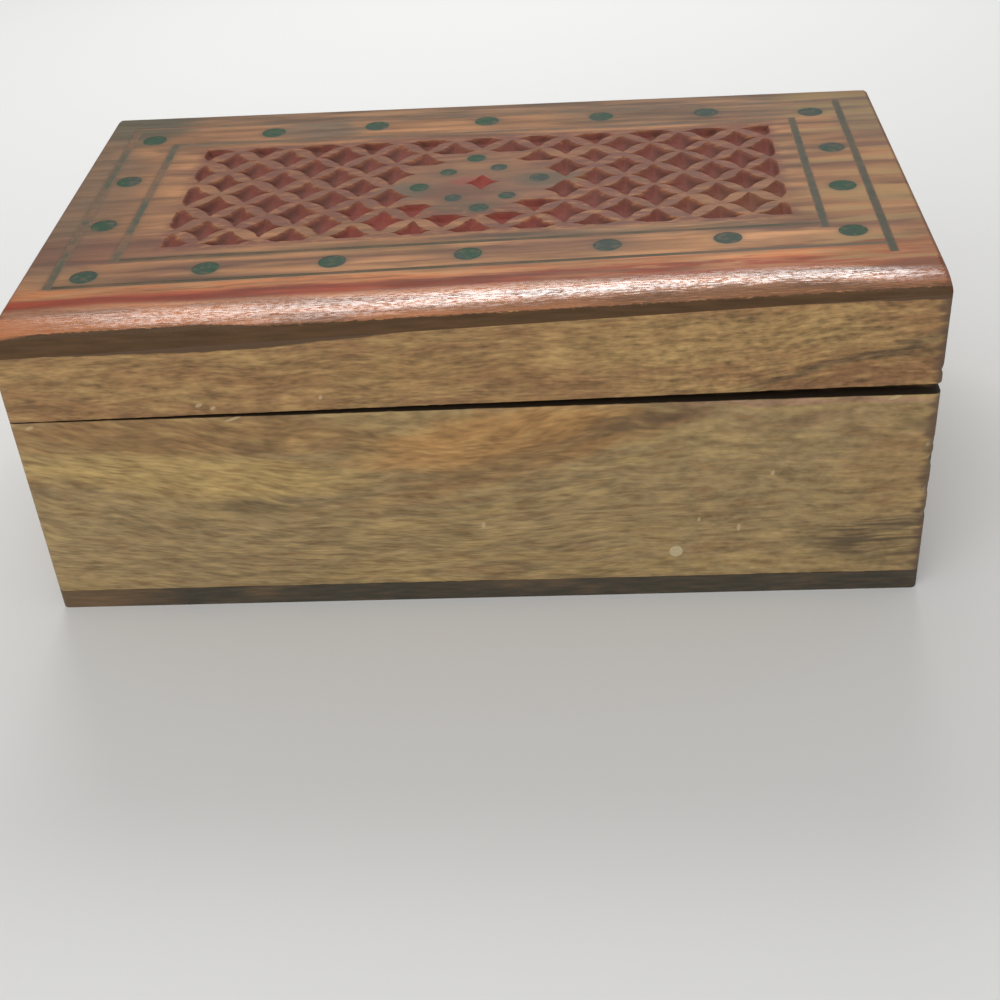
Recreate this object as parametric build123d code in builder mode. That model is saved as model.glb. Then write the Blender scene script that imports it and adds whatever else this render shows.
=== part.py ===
"""Carved wooden keepsake box with inlaid metal lines and dots on a hinged lid.

Millimetres, +Z up. The origin is the centre of the underside, the front of the box
faces -Y and the hinges are along the back at +Y. The lid is drawn closed.
"""

import math
import os

from build123d import *

os.makedirs("parts", exist_ok=True)

# Box body
length = 203.2
depth = 127.0
base_height = 51.8
wall = 7.0
bottom_thickness = 5.0
corner_ease = 1.5

# Pin hole in the front wall, filled with a plug of lighter wood
plug_x = 45.9
plug_z = 12.2
plug_radius = 1.5
plug_length = 4.0
plug_clearance = 0.05

# Lid frame, heights above the top of the base. The lid is a little in wind: it closes
# on the left and at the back and stands open by front_lift_right at the front right.
seam_gap = 0.2
front_lift_right = 2.2
frame_height = 14.7

# Lid board: its thickness over the frame at the four corners
board_front_left = 6.1
board_front_right = 10.7
board_back_left = 6.1
board_back_right = 4.8

# Edges of the lid board: a broad round along the front that ends in an arris, a narrow
# face under the arris down to the front rail, a round back and eased ends
round_width_left = 13.6
round_width_right = 9.8
round_drop_left = 1.45
round_drop_right = 0.8
arris_back = 1.8
edge_face_left = 3.4
edge_face_right = 0.9
back_round = 3.0
end_ease = 0.8
end_ease_drop = 0.5

# Inlaid frame of metal lines, measured from the lid's edges
margin_left = 7.6
margin_right = 9.3
margin_front = 23.1
margin_back = 9.8
band_width = 12.6
line_depth = 1.0
line_width_long = 1.3
line_width_side = 2.0
inlay_sink = 0.03
outer_overrun = 5.0
inner_overrun = 2.6

# Metal dots in the band between the lines, laid by hand: how far each one is off its
# even place, from left to right and from front to back
dot_depth = 1.0
dot_clearance = 0.05
border_dot_radius = 3.1
front_dots_off = [
    (1.0, -1.5), (0.0, -0.3), (0.0, -0.4), (1.6, -0.2), (3.6, 0.4), (1.1, 0.7), (-0.7, 1.1),
]
back_dots_off = [
    (-0.3, -2.3), (2.6, -0.1), (1.2, 1.5), (1.6, 1.6), (2.8, 1.4), (1.3, 1.2), (-1.0, -1.9),
]
left_dots_off = [(-1.1, -1.1), (-1.0, -2.1)]
right_dots_off = [(0.5, 0.5), (1.2, -1.3)]

# Carved field: diamond lattice of four-pointed chips, with a cleared middle
field_shift_x = 1.5
field_shift_y = 0.6
field_border = 6.0
step_x = 7.12
step_y = 6.95
chip_gap = 0.6
chip_waist = 0.31
chip_shoulder_far = 0.60
chip_shoulder_near = 0.13
chip_depth = 1.5
chip_overcut = 0.1
field_trim = 1.6
cleared_steps = 2

# Middle of the field: one small chip and eight dots, in steps of the lattice
heart_reach = 4.6
heart_depth = 1.0
heart_off = (0.9, -0.4)
point_dot_radius = 2.3
side_dot_radius = 2.0
point_dots = [(-0.17, 2.24), (-2.0, -0.26), (2.1, 0.13), (0.15, -2.3)]
side_dots = [(-1.08, 1.02), (0.67, 1.27), (-0.77, -1.34), (1.05, -1.34)]

# Butt hinges at the back, sunk between two bevelled edges that stop the lid when open
hinge_inset = 41.6
hinge_length = 21.0
axis_inset = 1.6
open_angle = 105.0
knuckle_radius = 1.7
knuckle_clearance = 0.15
knuckle_end_gap = 0.1
pin_radius = 0.6
pin_clearance = 0.05
leaf_thickness = 0.8
leaf_setback = 0.3
screw_spacing = 13.0
screw_inset = 3.3
screw_head_radius = 1.35
screw_head_height = 0.55
screw_shank_radius = 0.75
screw_length = 5.5
screw_clearance = 0.05
screw_slot_width = 0.35
screw_slot_depth = 0.25

# Derived levels, lines and planes
half_l = length / 2
half_d = depth / 2
lid_bottom = base_height + seam_gap
frame_top = base_height + frame_height
hinge_x = half_l - hinge_inset
axis_y = half_d - axis_inset
axis_z = base_height + seam_gap / 2
leaf_width = wall - axis_inset - leaf_setback
bevel_slope = math.tan(math.radians(open_angle / 2))
outer_left = -half_l + margin_left
outer_right = half_l - margin_right
outer_front = -half_d + margin_front
outer_back = half_d - margin_back
inner_left = outer_left + band_width
inner_right = outer_right - band_width
inner_front = outer_front + band_width
inner_back = outer_back - band_width
field_x = (inner_left + inner_right) / 2 + field_shift_x
field_y = (inner_front + inner_back) / 2 + field_shift_y
columns = int(((inner_right - inner_left) / 2 - field_border) / step_x)
rows = int(((inner_back - inner_front) / 2 - field_border) / step_y)


def between(left, right, x):
    """Value at x of something that runs straight from the left end to the right end."""
    return left + (right - left) * (x + half_l) / length


def top_z(x, y):
    """Height of the lid's top surface, straight along X and along Y."""
    front = between(board_front_left, board_front_right, x)
    back = between(board_back_left, board_back_right, x)
    return frame_top + front + (back - front) * (y + half_d) / depth


def top_slope_x(y):
    """Rise of the lid's top surface per millimetre towards the right, at y."""
    return (top_z(half_l, y) - top_z(-half_l, y)) / length


def top_slope_y(x):
    """Rise of the lid's top surface per millimetre towards the back, at x."""
    return (top_z(x, half_d) - top_z(x, -half_d)) / depth


def on_top(x, y):
    """Place that lies on the lid's top surface with its Z axis square to it."""
    normal = Vector(-top_slope_x(y), -top_slope_y(x), 1.0)
    along = Vector(1.0, 0.0, top_slope_x(y))
    return Plane(origin=(x, y, top_z(x, y)), x_dir=along, z_dir=normal).location


def arris_z(x):
    """Height of the arris under the lid board's rounded front edge."""
    width = between(round_width_left, round_width_right, x)
    return top_z(x, -half_d + width) - between(round_drop_left, round_drop_right, x)


def seam_z(x):
    """Height of the joint between the front rail and the lid board."""
    return arris_z(x) - between(edge_face_left, edge_face_right, x)


# The joint itself is straight from one end of the lid to the other
seam_left = seam_z(-half_l)
seam_right = seam_z(half_l)
seam_slope = (seam_right - seam_left) / length


# Base
with BuildPart() as base_bottom_board:
    with BuildSketch(Plane.XY):
        RectangleRounded(length, depth, corner_ease)
    extrude(amount=bottom_thickness)

with BuildPart() as base_front_wall:
    with BuildSketch(Plane.XY.offset(bottom_thickness)):
        with Locations((0, -half_d + wall / 2)):
            Rectangle(length, wall)
    extrude(amount=base_height - bottom_thickness)
    fillet(base_front_wall.edges().filter_by(Axis.Z).group_by(Axis.Y)[0], corner_ease)
    with BuildSketch(Plane.XZ.offset(half_d)):
        with Locations((plug_x, plug_z)):
            Circle(plug_radius + plug_clearance)
    extrude(amount=-plug_length, mode=Mode.SUBTRACT)

with BuildPart() as front_wall_plug:
    with BuildSketch(Plane.XZ.offset(half_d)):
        with Locations((plug_x, plug_z)):
            Circle(plug_radius)
    extrude(amount=-plug_length)

with BuildPart() as base_left_wall:
    with BuildSketch(Plane.XY.offset(bottom_thickness)):
        with Locations((-half_l + wall / 2, 0)):
            Rectangle(wall, depth - 2 * wall)
    extrude(amount=base_height - bottom_thickness)

with BuildPart() as base_right_wall:
    with BuildSketch(Plane.XY.offset(bottom_thickness)):
        with Locations((half_l - wall / 2, 0)):
            Rectangle(wall, depth - 2 * wall)
    extrude(amount=base_height - bottom_thickness)

with BuildPart() as base_back_wall:
    with BuildSketch(Plane.XY.offset(bottom_thickness)):
        with Locations((0, half_d - wall / 2)):
            Rectangle(length, wall)
    extrude(amount=base_height - bottom_thickness)
    fillet(base_back_wall.edges().filter_by(Axis.Z).group_by(Axis.Y)[-1], corner_ease)
    # Bevel under the seam, the lid leans on it when open
    with BuildSketch(Plane.YZ.offset(-half_l)):
        with BuildLine():
            Polyline(
                (axis_y, base_height),
                (half_d + 1.0, base_height - (axis_inset + 1.0) * bevel_slope),
                (half_d + 1.0, base_height + 1.0),
                (axis_y, base_height + 1.0),
                close=True,
            )
        make_face()
    extrude(amount=length, mode=Mode.SUBTRACT)
    # Seats of the hinge leaves and room for the knuckles
    with Locations((-hinge_x, 0, 0), (hinge_x, 0, 0)):
        with Locations((0, half_d - wall - 0.5, base_height - leaf_thickness)):
            Box(
                hinge_length + 2 * knuckle_end_gap,
                wall + 0.5 - axis_inset,
                leaf_thickness + 1.0,
                align=(Align.CENTER, Align.MIN, Align.MIN),
                mode=Mode.SUBTRACT,
            )
        with Locations((0, axis_y, axis_z)):
            Cylinder(
                knuckle_radius + knuckle_clearance,
                hinge_length + 2 * knuckle_end_gap,
                rotation=(0, 90, 0),
                mode=Mode.SUBTRACT,
            )
    # Screw holes
    with Locations(*[
        (side * hinge_x + step * screw_spacing / 2, axis_y - screw_inset, base_height)
        for side in (-1, 1) for step in (-1, 1)
    ]):
        Cylinder(
            screw_shank_radius + screw_clearance,
            screw_length + 0.2,
            align=(Align.CENTER, Align.CENTER, Align.MAX),
            mode=Mode.SUBTRACT,
        )

# Lid frame
with BuildPart() as lid_front_rail:
    with BuildSketch(Plane.XZ.offset(half_d)):
        with BuildLine():
            Polyline(
                (-half_l, lid_bottom),
                (half_l, lid_bottom + front_lift_right),
                (half_l, seam_right),
                (-half_l, seam_left),
                close=True,
            )
        make_face()
    extrude(amount=-wall)
    with BuildSketch(Plane.XY):
        RectangleRounded(length, depth, corner_ease)
    extrude(amount=2 * frame_top, mode=Mode.INTERSECT)

with BuildPart() as lid_left_rail:
    with BuildSketch(Plane.XY.offset(lid_bottom)):
        with Locations((-half_l + wall / 2, 0)):
            Rectangle(wall, depth - 2 * wall)
    extrude(amount=frame_top - lid_bottom)

with BuildPart() as lid_right_rail:
    with BuildSketch(Plane.YZ.offset(half_l - wall)):
        with BuildLine():
            Polyline(
                (-half_d + wall, lid_bottom + front_lift_right * (1 - wall / depth)),
                (half_d - wall, lid_bottom + front_lift_right * wall / depth),
                (half_d - wall, frame_top),
                (-half_d + wall, frame_top),
                close=True,
            )
        make_face()
    extrude(amount=wall)

with BuildPart() as lid_back_rail:
    with BuildSketch(Plane.XY.offset(lid_bottom)):
        with Locations((0, half_d - wall / 2)):
            Rectangle(length, wall)
    extrude(amount=frame_top - lid_bottom)
    fillet(lid_back_rail.edges().filter_by(Axis.Z).group_by(Axis.Y)[-1], corner_ease)
    with BuildSketch(Plane.YZ.offset(-half_l)):
        with BuildLine():
            Polyline(
                (axis_y, lid_bottom),
                (half_d + 1.0, lid_bottom + (axis_inset + 1.0) * bevel_slope),
                (half_d + 1.0, lid_bottom - 1.0),
                (axis_y, lid_bottom - 1.0),
                close=True,
            )
        make_face()
    extrude(amount=length, mode=Mode.SUBTRACT)
    with Locations((-hinge_x, 0, 0), (hinge_x, 0, 0)):
        with Locations((0, half_d - wall - 0.5, lid_bottom + leaf_thickness)):
            Box(
                hinge_length + 2 * knuckle_end_gap,
                wall + 0.5 - axis_inset,
                leaf_thickness + 1.0,
                align=(Align.CENTER, Align.MIN, Align.MAX),
                mode=Mode.SUBTRACT,
            )
        with Locations((0, axis_y, axis_z)):
            Cylinder(
                knuckle_radius + knuckle_clearance,
                hinge_length + 2 * knuckle_end_gap,
                rotation=(0, 90, 0),
                mode=Mode.SUBTRACT,
            )
    with Locations(*[
        (side * hinge_x + step * screw_spacing / 2, axis_y - screw_inset, lid_bottom)
        for side in (-1, 1) for step in (-1, 1)
    ]):
        Cylinder(
            screw_shank_radius + screw_clearance,
            screw_length + 0.2,
            align=(Align.CENTER, Align.CENTER, Align.MIN),
            mode=Mode.SUBTRACT,
        )

# Inlay layout, shared by the grooves and the metal
long_half = line_width_long / 2
side_half = line_width_side / 2
outer_front_line = (outer_left + side_half, outer_right - side_half, outer_front)
outer_back_line = (outer_left + side_half, outer_right - side_half, outer_back)
inner_front_line = (inner_left + side_half, inner_right - side_half, inner_front)
inner_back_line = (inner_left + side_half, inner_right - side_half, inner_back)
outer_left_line = (outer_front - long_half, outer_back + long_half, outer_left)
outer_right_line = (outer_front - outer_overrun, outer_back + long_half, outer_right)
inner_left_line = (inner_front - long_half, inner_back + long_half, inner_left)
inner_right_line = (inner_front - inner_overrun, inner_back + long_half, inner_right)
long_lines = [outer_front_line, outer_back_line, inner_front_line, inner_back_line]
side_lines = [outer_left_line, outer_right_line, inner_left_line, inner_right_line]

dots_left = outer_left + band_width / 2
dots_right = outer_right - band_width / 2
dots_front = outer_front + band_width / 2
dots_back = outer_back - band_width / 2


def dot_row(offsets, start, end, skip):
    """Evenly spaced points from start to end, each moved by its own offset."""
    count = len(offsets) + 2 * skip - 1
    places = []
    for number, (dx, dy) in enumerate(offsets):
        share = (number + skip) / count
        x = start[0] + (end[0] - start[0]) * share + dx
        y = start[1] + (end[1] - start[1]) * share + dy
        places.append((x, y))
    return places


border_dot_places = (
    dot_row(front_dots_off, (dots_left, dots_front), (dots_right, dots_front), 0)
    + dot_row(back_dots_off, (dots_left, dots_back), (dots_right, dots_back), 0)
    + dot_row(left_dots_off, (dots_left, dots_front), (dots_left, dots_back), 1)
    + dot_row(right_dots_off, (dots_right, dots_front), (dots_right, dots_back), 1)
)
point_dot_places = [(field_x + u * step_x, field_y + v * step_y) for u, v in point_dots]
side_dot_places = [(field_x + u * step_x, field_y + v * step_y) for u, v in side_dots]


def long_line(line, lift):
    """Sketch of a line along X, seen from the front; lift raises its upper edge."""
    x0, x1, y = line
    with BuildSketch(Plane.XZ.offset(-y - long_half)) as drawn:
        with BuildLine():
            Polyline(
                (x0, top_z(x0, y) - line_depth),
                (x1, top_z(x1, y) - line_depth),
                (x1, top_z(x1, y) + lift),
                (x0, top_z(x0, y) + lift),
                close=True,
            )
        make_face()
    return drawn.sketch


def side_line(line, lift):
    """Sketch of a line along Y, seen from the side; lift raises its upper edge."""
    y0, y1, x = line
    with BuildSketch(Plane.YZ.offset(x - side_half)) as drawn:
        with BuildLine():
            Polyline(
                (y0, top_z(x, y0) - line_depth),
                (y1, top_z(x, y1) - line_depth),
                (y1, top_z(x, y1) + lift),
                (y0, top_z(x, y0) + lift),
                close=True,
            )
        make_face()
    return drawn.sketch


def trimmed(ring, axis, side, limit):
    """Outline cut off where its coordinate along axis, times side, passes the limit."""
    kept = []
    for first, second in zip(ring, ring[1:] + ring[:1]):
        here = limit - side * first[axis]
        there = limit - side * second[axis]
        if here >= 0:
            kept.append(first)
        if here * there < 0:
            share = here / (here - there)
            kept.append(tuple(a + (b - a) * share for a, b in zip(first, second)))
    return kept


def chip_solid(reach_x, reach_y, deep, side_x, side_y):
    """Four-pointed chip: a pyramid with hollow sides, point down, on the XY plane.

    side_x and side_y are -1 or 1 where the chip ends at the field's border, or else 0.
    """
    near, far, waist = chip_shoulder_near, chip_shoulder_far, chip_waist
    quarter = [(1.0, 0.0), (far, near), (waist, waist), (near, far)]
    ring = []
    for turn in range(4):
        for px, py in quarter:
            for _ in range(turn):
                px, py = -py, px
            ring.append((px * reach_x, py * reach_y))
    if side_x:
        ring = trimmed(ring, 0, side_x, field_trim)
    if side_y:
        ring = trimmed(ring, 1, side_y, field_trim)
    grow = 1 + chip_overcut / deep
    ring = [(x * grow, y * grow, chip_overcut) for x, y in ring]
    apex = (0.0, 0.0, -deep)
    faces = [Face(Wire.make_polygon(ring, close=True))]
    for first, second in zip(ring, ring[1:] + ring[:1]):
        faces.append(Face(Wire.make_polygon([first, second, apex], close=True)))
    return Solid(Shell(faces))


def chip_groups():
    """Places of the lattice without its cleared middle, by the border that they touch."""
    groups = {}
    for row in range(-rows, rows + 1):
        for column in range(-columns, columns + 1):
            if (row + column) % 2 == 0 and abs(row) + abs(column) > cleared_steps:
                side_x = (column == columns) - (column == -columns)
                side_y = (row == rows) - (row == -rows)
                place = on_top(field_x + column * step_x, field_y + row * step_y)
                groups.setdefault((side_x, side_y), []).append(place)
    return groups


def board_profile(x, lower):
    """Cross-section of the lid board at x, in the YZ plane, its top lowered by lower."""
    front = -half_d
    width = between(round_width_left, round_width_right, x)
    slope = top_slope_y(x)
    under = frame_top - wall
    flat = (front + width, top_z(x, front + width) - lower)
    arris = (front + arris_back, arris_z(x) - lower)
    back_flat = (half_d - back_round, top_z(x, half_d - back_round) - lower)
    back_edge = (half_d, top_z(x, half_d) - back_round - lower)
    with BuildSketch(Plane.YZ.offset(x)) as drawn:
        with BuildLine():
            Polyline((half_d, under), (front, under), (front, seam_z(x)), arris)
            TangentArc(flat, arris, tangent=(-1.0, -slope))
            Line(flat, back_flat)
            TangentArc(back_flat, back_edge, tangent=(1.0, slope))
            Line(back_edge, (half_d, under))
        make_face()
    return drawn.sketch


eased_x = half_l - end_ease
board_profiles = [
    board_profile(-half_l, end_ease_drop),
    board_profile(-eased_x, 0.0),
    board_profile(eased_x, 0.0),
    board_profile(half_l, end_ease_drop),
]
chips = [
    (chip_solid(step_x - chip_gap, step_y - chip_gap, chip_depth, side_x, side_y), places)
    for (side_x, side_y), places in chip_groups().items()
]
heart_chip = chip_solid(heart_reach, heart_reach, heart_depth, 0, 0)
heart_place = on_top(field_x + heart_off[0], field_y + heart_off[1])

# Lid board
with BuildPart() as lid_top_board:
    loft(board_profiles, ruled=True)
    # It rests on the frame, and the front rail reaches up under its front edge
    with BuildSketch(Plane.XZ.offset(half_d - wall)):
        with Locations((0, frame_top - wall)):
            Rectangle(length + 2.0, 2 * wall)
    extrude(amount=-depth, mode=Mode.SUBTRACT)
    with BuildSketch(Plane.XZ.offset(half_d + 1.0)):
        with BuildLine():
            Polyline(
                (-half_l - 1.0, frame_top - 2 * wall),
                (half_l + 1.0, frame_top - 2 * wall),
                (half_l + 1.0, seam_right + seam_slope),
                (-half_l - 1.0, seam_left - seam_slope),
                close=True,
            )
        make_face()
    extrude(amount=-wall - 1.0, mode=Mode.SUBTRACT)
    # Eased corners
    with BuildSketch(Plane.XY.offset(frame_top - wall)):
        RectangleRounded(length, depth, corner_ease)
    extrude(amount=frame_top, mode=Mode.INTERSECT)
    # Carving
    for chip, places in chips:
        with Locations(*places):
            add(chip, mode=Mode.SUBTRACT)
    with Locations(heart_place):
        add(heart_chip, mode=Mode.SUBTRACT)
    # Grooves for the lines and seats for the dots
    for line in long_lines:
        extrude(long_line(line, 2.0), amount=line_width_long, mode=Mode.SUBTRACT)
    for line in side_lines:
        extrude(side_line(line, 2.0), amount=line_width_side, mode=Mode.SUBTRACT)
    for radius, places in (
        (border_dot_radius, border_dot_places),
        (point_dot_radius, point_dot_places),
        (side_dot_radius, side_dot_places),
    ):
        with Locations(*[on_top(x, y) for x, y in places]):
            with Locations((0, 0, -dot_depth)):
                Cylinder(
                    radius + dot_clearance,
                    dot_depth + 1.0,
                    align=(Align.CENTER, Align.CENTER, Align.MIN),
                    mode=Mode.SUBTRACT,
                )

# Inlaid lines
with BuildPart() as inlay_outer_front:
    extrude(long_line(outer_front_line, -inlay_sink), amount=line_width_long)

with BuildPart() as inlay_outer_back:
    extrude(long_line(outer_back_line, -inlay_sink), amount=line_width_long)

with BuildPart() as inlay_outer_left:
    extrude(side_line(outer_left_line, -inlay_sink), amount=line_width_side)

with BuildPart() as inlay_outer_right:
    extrude(side_line(outer_right_line, -inlay_sink), amount=line_width_side)

with BuildPart() as inlay_inner_front:
    extrude(long_line(inner_front_line, -inlay_sink), amount=line_width_long)

with BuildPart() as inlay_inner_back:
    extrude(long_line(inner_back_line, -inlay_sink), amount=line_width_long)

with BuildPart() as inlay_inner_left:
    extrude(side_line(inner_left_line, -inlay_sink), amount=line_width_side)

with BuildPart() as inlay_inner_right:
    extrude(side_line(inner_right_line, -inlay_sink), amount=line_width_side)

# Inlaid dots
with BuildPart() as border_dots:
    with Locations(*[on_top(x, y) for x, y in border_dot_places]):
        with Locations((0, 0, -dot_depth)):
            Cylinder(
                border_dot_radius,
                dot_depth - inlay_sink,
                align=(Align.CENTER, Align.CENTER, Align.MIN),
            )

with BuildPart() as medallion_dots:
    for radius, places in ((point_dot_radius, point_dot_places), (side_dot_radius, side_dot_places)):
        with Locations(*[on_top(x, y) for x, y in places]):
            with Locations((0, 0, -dot_depth)):
                Cylinder(
                    radius,
                    dot_depth - inlay_sink,
                    align=(Align.CENTER, Align.CENTER, Align.MIN),
                )

# Hinges: two outer knuckles on the base leaf, the middle one on the lid leaf
outer_knuckle = (hinge_length - hinge_length / 3) / 2
middle_knuckle = hinge_length / 3 - 2 * knuckle_end_gap
outer_knuckle_x = (hinge_length - outer_knuckle) / 2
screw_row = [(-screw_spacing / 2, axis_y - screw_inset), (screw_spacing / 2, axis_y - screw_inset)]

with BuildPart() as hinge_base_leaf:
    with Locations((0, axis_y - leaf_width, base_height)):
        Box(
            hinge_length,
            leaf_width,
            leaf_thickness,
            align=(Align.CENTER, Align.MIN, Align.MAX),
        )
    with Locations((0, axis_y, axis_z)):
        Cylinder(
            knuckle_radius + knuckle_clearance,
            hinge_length / 3,
            rotation=(0, 90, 0),
            mode=Mode.SUBTRACT,
        )
    with Locations((-outer_knuckle_x, axis_y, axis_z), (outer_knuckle_x, axis_y, axis_z)):
        Cylinder(knuckle_radius, outer_knuckle, rotation=(0, 90, 0))
    with Locations((0, axis_y, axis_z)):
        Cylinder(
            pin_radius + pin_clearance,
            hinge_length + 2.0,
            rotation=(0, 90, 0),
            mode=Mode.SUBTRACT,
        )
    with Locations(*[(x, y, base_height) for x, y in screw_row]):
        Cylinder(
            screw_shank_radius + screw_clearance,
            3 * leaf_thickness,
            mode=Mode.SUBTRACT,
        )
        Cone(
            screw_shank_radius + screw_clearance,
            screw_head_radius + screw_clearance,
            screw_head_height,
            align=(Align.CENTER, Align.CENTER, Align.MAX),
            mode=Mode.SUBTRACT,
        )

with BuildPart() as hinge_lid_leaf:
    with Locations((0, axis_y - leaf_width, lid_bottom)):
        Box(
            hinge_length,
            leaf_width,
            leaf_thickness,
            align=(Align.CENTER, Align.MIN, Align.MIN),
        )
    with Locations((-outer_knuckle_x, axis_y, axis_z), (outer_knuckle_x, axis_y, axis_z)):
        Cylinder(
            knuckle_radius + knuckle_clearance,
            outer_knuckle + 2 * knuckle_end_gap,
            rotation=(0, 90, 0),
            mode=Mode.SUBTRACT,
        )
    with Locations((0, axis_y, axis_z)):
        Cylinder(knuckle_radius, middle_knuckle, rotation=(0, 90, 0))
    with Locations((0, axis_y, axis_z)):
        Cylinder(
            pin_radius + pin_clearance,
            hinge_length + 2.0,
            rotation=(0, 90, 0),
            mode=Mode.SUBTRACT,
        )
    with Locations(*[(x, y, lid_bottom) for x, y in screw_row]):
        Cylinder(
            screw_shank_radius + screw_clearance,
            3 * leaf_thickness,
            mode=Mode.SUBTRACT,
        )
        Cone(
            screw_head_radius + screw_clearance,
            screw_shank_radius + screw_clearance,
            screw_head_height,
            align=(Align.CENTER, Align.CENTER, Align.MIN),
            mode=Mode.SUBTRACT,
        )

with BuildPart() as hinge_pin:
    with Locations((0, axis_y, axis_z)):
        Cylinder(pin_radius, hinge_length, rotation=(0, 90, 0))

# Screws, heads up in the base and heads down in the lid
with BuildPart() as hinge_base_screws:
    with Locations(*[
        (side * hinge_x + x, y, base_height) for side in (-1, 1) for x, y in screw_row
    ]):
        Cylinder(
            screw_shank_radius,
            screw_length,
            align=(Align.CENTER, Align.CENTER, Align.MAX),
        )
        Cone(
            screw_shank_radius,
            screw_head_radius,
            screw_head_height,
            align=(Align.CENTER, Align.CENTER, Align.MAX),
        )
        Box(
            3 * screw_head_radius,
            screw_slot_width,
            2 * screw_slot_depth,
            mode=Mode.SUBTRACT,
        )

with BuildPart() as hinge_lid_screws:
    with Locations(*[
        (side * hinge_x + x, y, lid_bottom) for side in (-1, 1) for x, y in screw_row
    ]):
        Cylinder(
            screw_shank_radius,
            screw_length,
            align=(Align.CENTER, Align.CENTER, Align.MIN),
        )
        Cone(
            screw_head_radius,
            screw_shank_radius,
            screw_head_height,
            align=(Align.CENTER, Align.CENTER, Align.MIN),
        )
        Box(
            3 * screw_head_radius,
            screw_slot_width,
            2 * screw_slot_depth,
            mode=Mode.SUBTRACT,
        )

# The same leaves and pin make the left and the right hinge
with BuildPart() as left_hinge_base_leaf:
    with Locations((-hinge_x, 0, 0)):
        add(hinge_base_leaf.part)

with BuildPart() as left_hinge_lid_leaf:
    with Locations((-hinge_x, 0, 0)):
        add(hinge_lid_leaf.part)

with BuildPart() as left_hinge_pin:
    with Locations((-hinge_x, 0, 0)):
        add(hinge_pin.part)

with BuildPart() as right_hinge_base_leaf:
    with Locations((hinge_x, 0, 0)):
        add(hinge_base_leaf.part)

with BuildPart() as right_hinge_lid_leaf:
    with Locations((hinge_x, 0, 0)):
        add(hinge_lid_leaf.part)

with BuildPart() as right_hinge_pin:
    with Locations((hinge_x, 0, 0)):
        add(hinge_pin.part)

base_bottom_board.part.label = "base_bottom_board"
base_front_wall.part.label = "base_front_wall"
base_back_wall.part.label = "base_back_wall"
base_left_wall.part.label = "base_left_wall"
base_right_wall.part.label = "base_right_wall"
front_wall_plug.part.label = "front_wall_plug"
lid_front_rail.part.label = "lid_front_rail"
lid_back_rail.part.label = "lid_back_rail"
lid_left_rail.part.label = "lid_left_rail"
lid_right_rail.part.label = "lid_right_rail"
lid_top_board.part.label = "lid_top_board"
inlay_outer_front.part.label = "inlay_outer_front"
inlay_outer_back.part.label = "inlay_outer_back"
inlay_outer_left.part.label = "inlay_outer_left"
inlay_outer_right.part.label = "inlay_outer_right"
inlay_inner_front.part.label = "inlay_inner_front"
inlay_inner_back.part.label = "inlay_inner_back"
inlay_inner_left.part.label = "inlay_inner_left"
inlay_inner_right.part.label = "inlay_inner_right"
border_dots.part.label = "border_dots"
medallion_dots.part.label = "medallion_dots"
left_hinge_base_leaf.part.label = "left_hinge_base_leaf"
left_hinge_lid_leaf.part.label = "left_hinge_lid_leaf"
left_hinge_pin.part.label = "left_hinge_pin"
right_hinge_base_leaf.part.label = "right_hinge_base_leaf"
right_hinge_lid_leaf.part.label = "right_hinge_lid_leaf"
right_hinge_pin.part.label = "right_hinge_pin"
hinge_base_screws.part.label = "hinge_base_screws"
hinge_lid_screws.part.label = "hinge_lid_screws"

export_step(base_bottom_board.part, "parts/base_bottom_board.step")
export_step(base_front_wall.part, "parts/base_front_wall.step")
export_step(base_back_wall.part, "parts/base_back_wall.step")
export_step(base_left_wall.part, "parts/base_left_wall.step")
export_step(base_right_wall.part, "parts/base_right_wall.step")
export_step(front_wall_plug.part, "parts/front_wall_plug.step")
export_step(lid_front_rail.part, "parts/lid_front_rail.step")
export_step(lid_back_rail.part, "parts/lid_back_rail.step")
export_step(lid_left_rail.part, "parts/lid_left_rail.step")
export_step(lid_right_rail.part, "parts/lid_right_rail.step")
export_step(lid_top_board.part, "parts/lid_top_board.step")
export_step(inlay_outer_front.part, "parts/inlay_outer_front.step")
export_step(inlay_outer_back.part, "parts/inlay_outer_back.step")
export_step(inlay_outer_left.part, "parts/inlay_outer_left.step")
export_step(inlay_outer_right.part, "parts/inlay_outer_right.step")
export_step(inlay_inner_front.part, "parts/inlay_inner_front.step")
export_step(inlay_inner_back.part, "parts/inlay_inner_back.step")
export_step(inlay_inner_left.part, "parts/inlay_inner_left.step")
export_step(inlay_inner_right.part, "parts/inlay_inner_right.step")
export_step(border_dots.part, "parts/border_dots.step")
export_step(medallion_dots.part, "parts/medallion_dots.step")
export_step(left_hinge_base_leaf.part, "parts/left_hinge_base_leaf.step")
export_step(left_hinge_lid_leaf.part, "parts/left_hinge_lid_leaf.step")
export_step(left_hinge_pin.part, "parts/left_hinge_pin.step")
export_step(right_hinge_base_leaf.part, "parts/right_hinge_base_leaf.step")
export_step(right_hinge_lid_leaf.part, "parts/right_hinge_lid_leaf.step")
export_step(right_hinge_pin.part, "parts/right_hinge_pin.step")
export_step(hinge_base_screws.part, "parts/hinge_base_screws.step")
export_step(hinge_lid_screws.part, "parts/hinge_lid_screws.step")
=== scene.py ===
"""Looks of a carved and inlaid wooden keepsake box.

Metres, +Z up, the front of the box faces -Y. The lid board and the two front boards are
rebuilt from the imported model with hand-cut chips and worn edges; every other piece keeps
its shape and gets a finish. Finishes are placed by object coordinates, so they stay on
their piece when the lid turns. Inside a finish all places and lengths are millimetres.
"""

import math

import bmesh
import bpy
import numpy as np
from bpy.props import FloatProperty, FloatVectorProperty, PointerProperty
from mathutils import Matrix, Vector, noise
from mathutils.bvhtree import BVHTree
from mathutils.geometry import delaunay_2d_cdt


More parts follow.
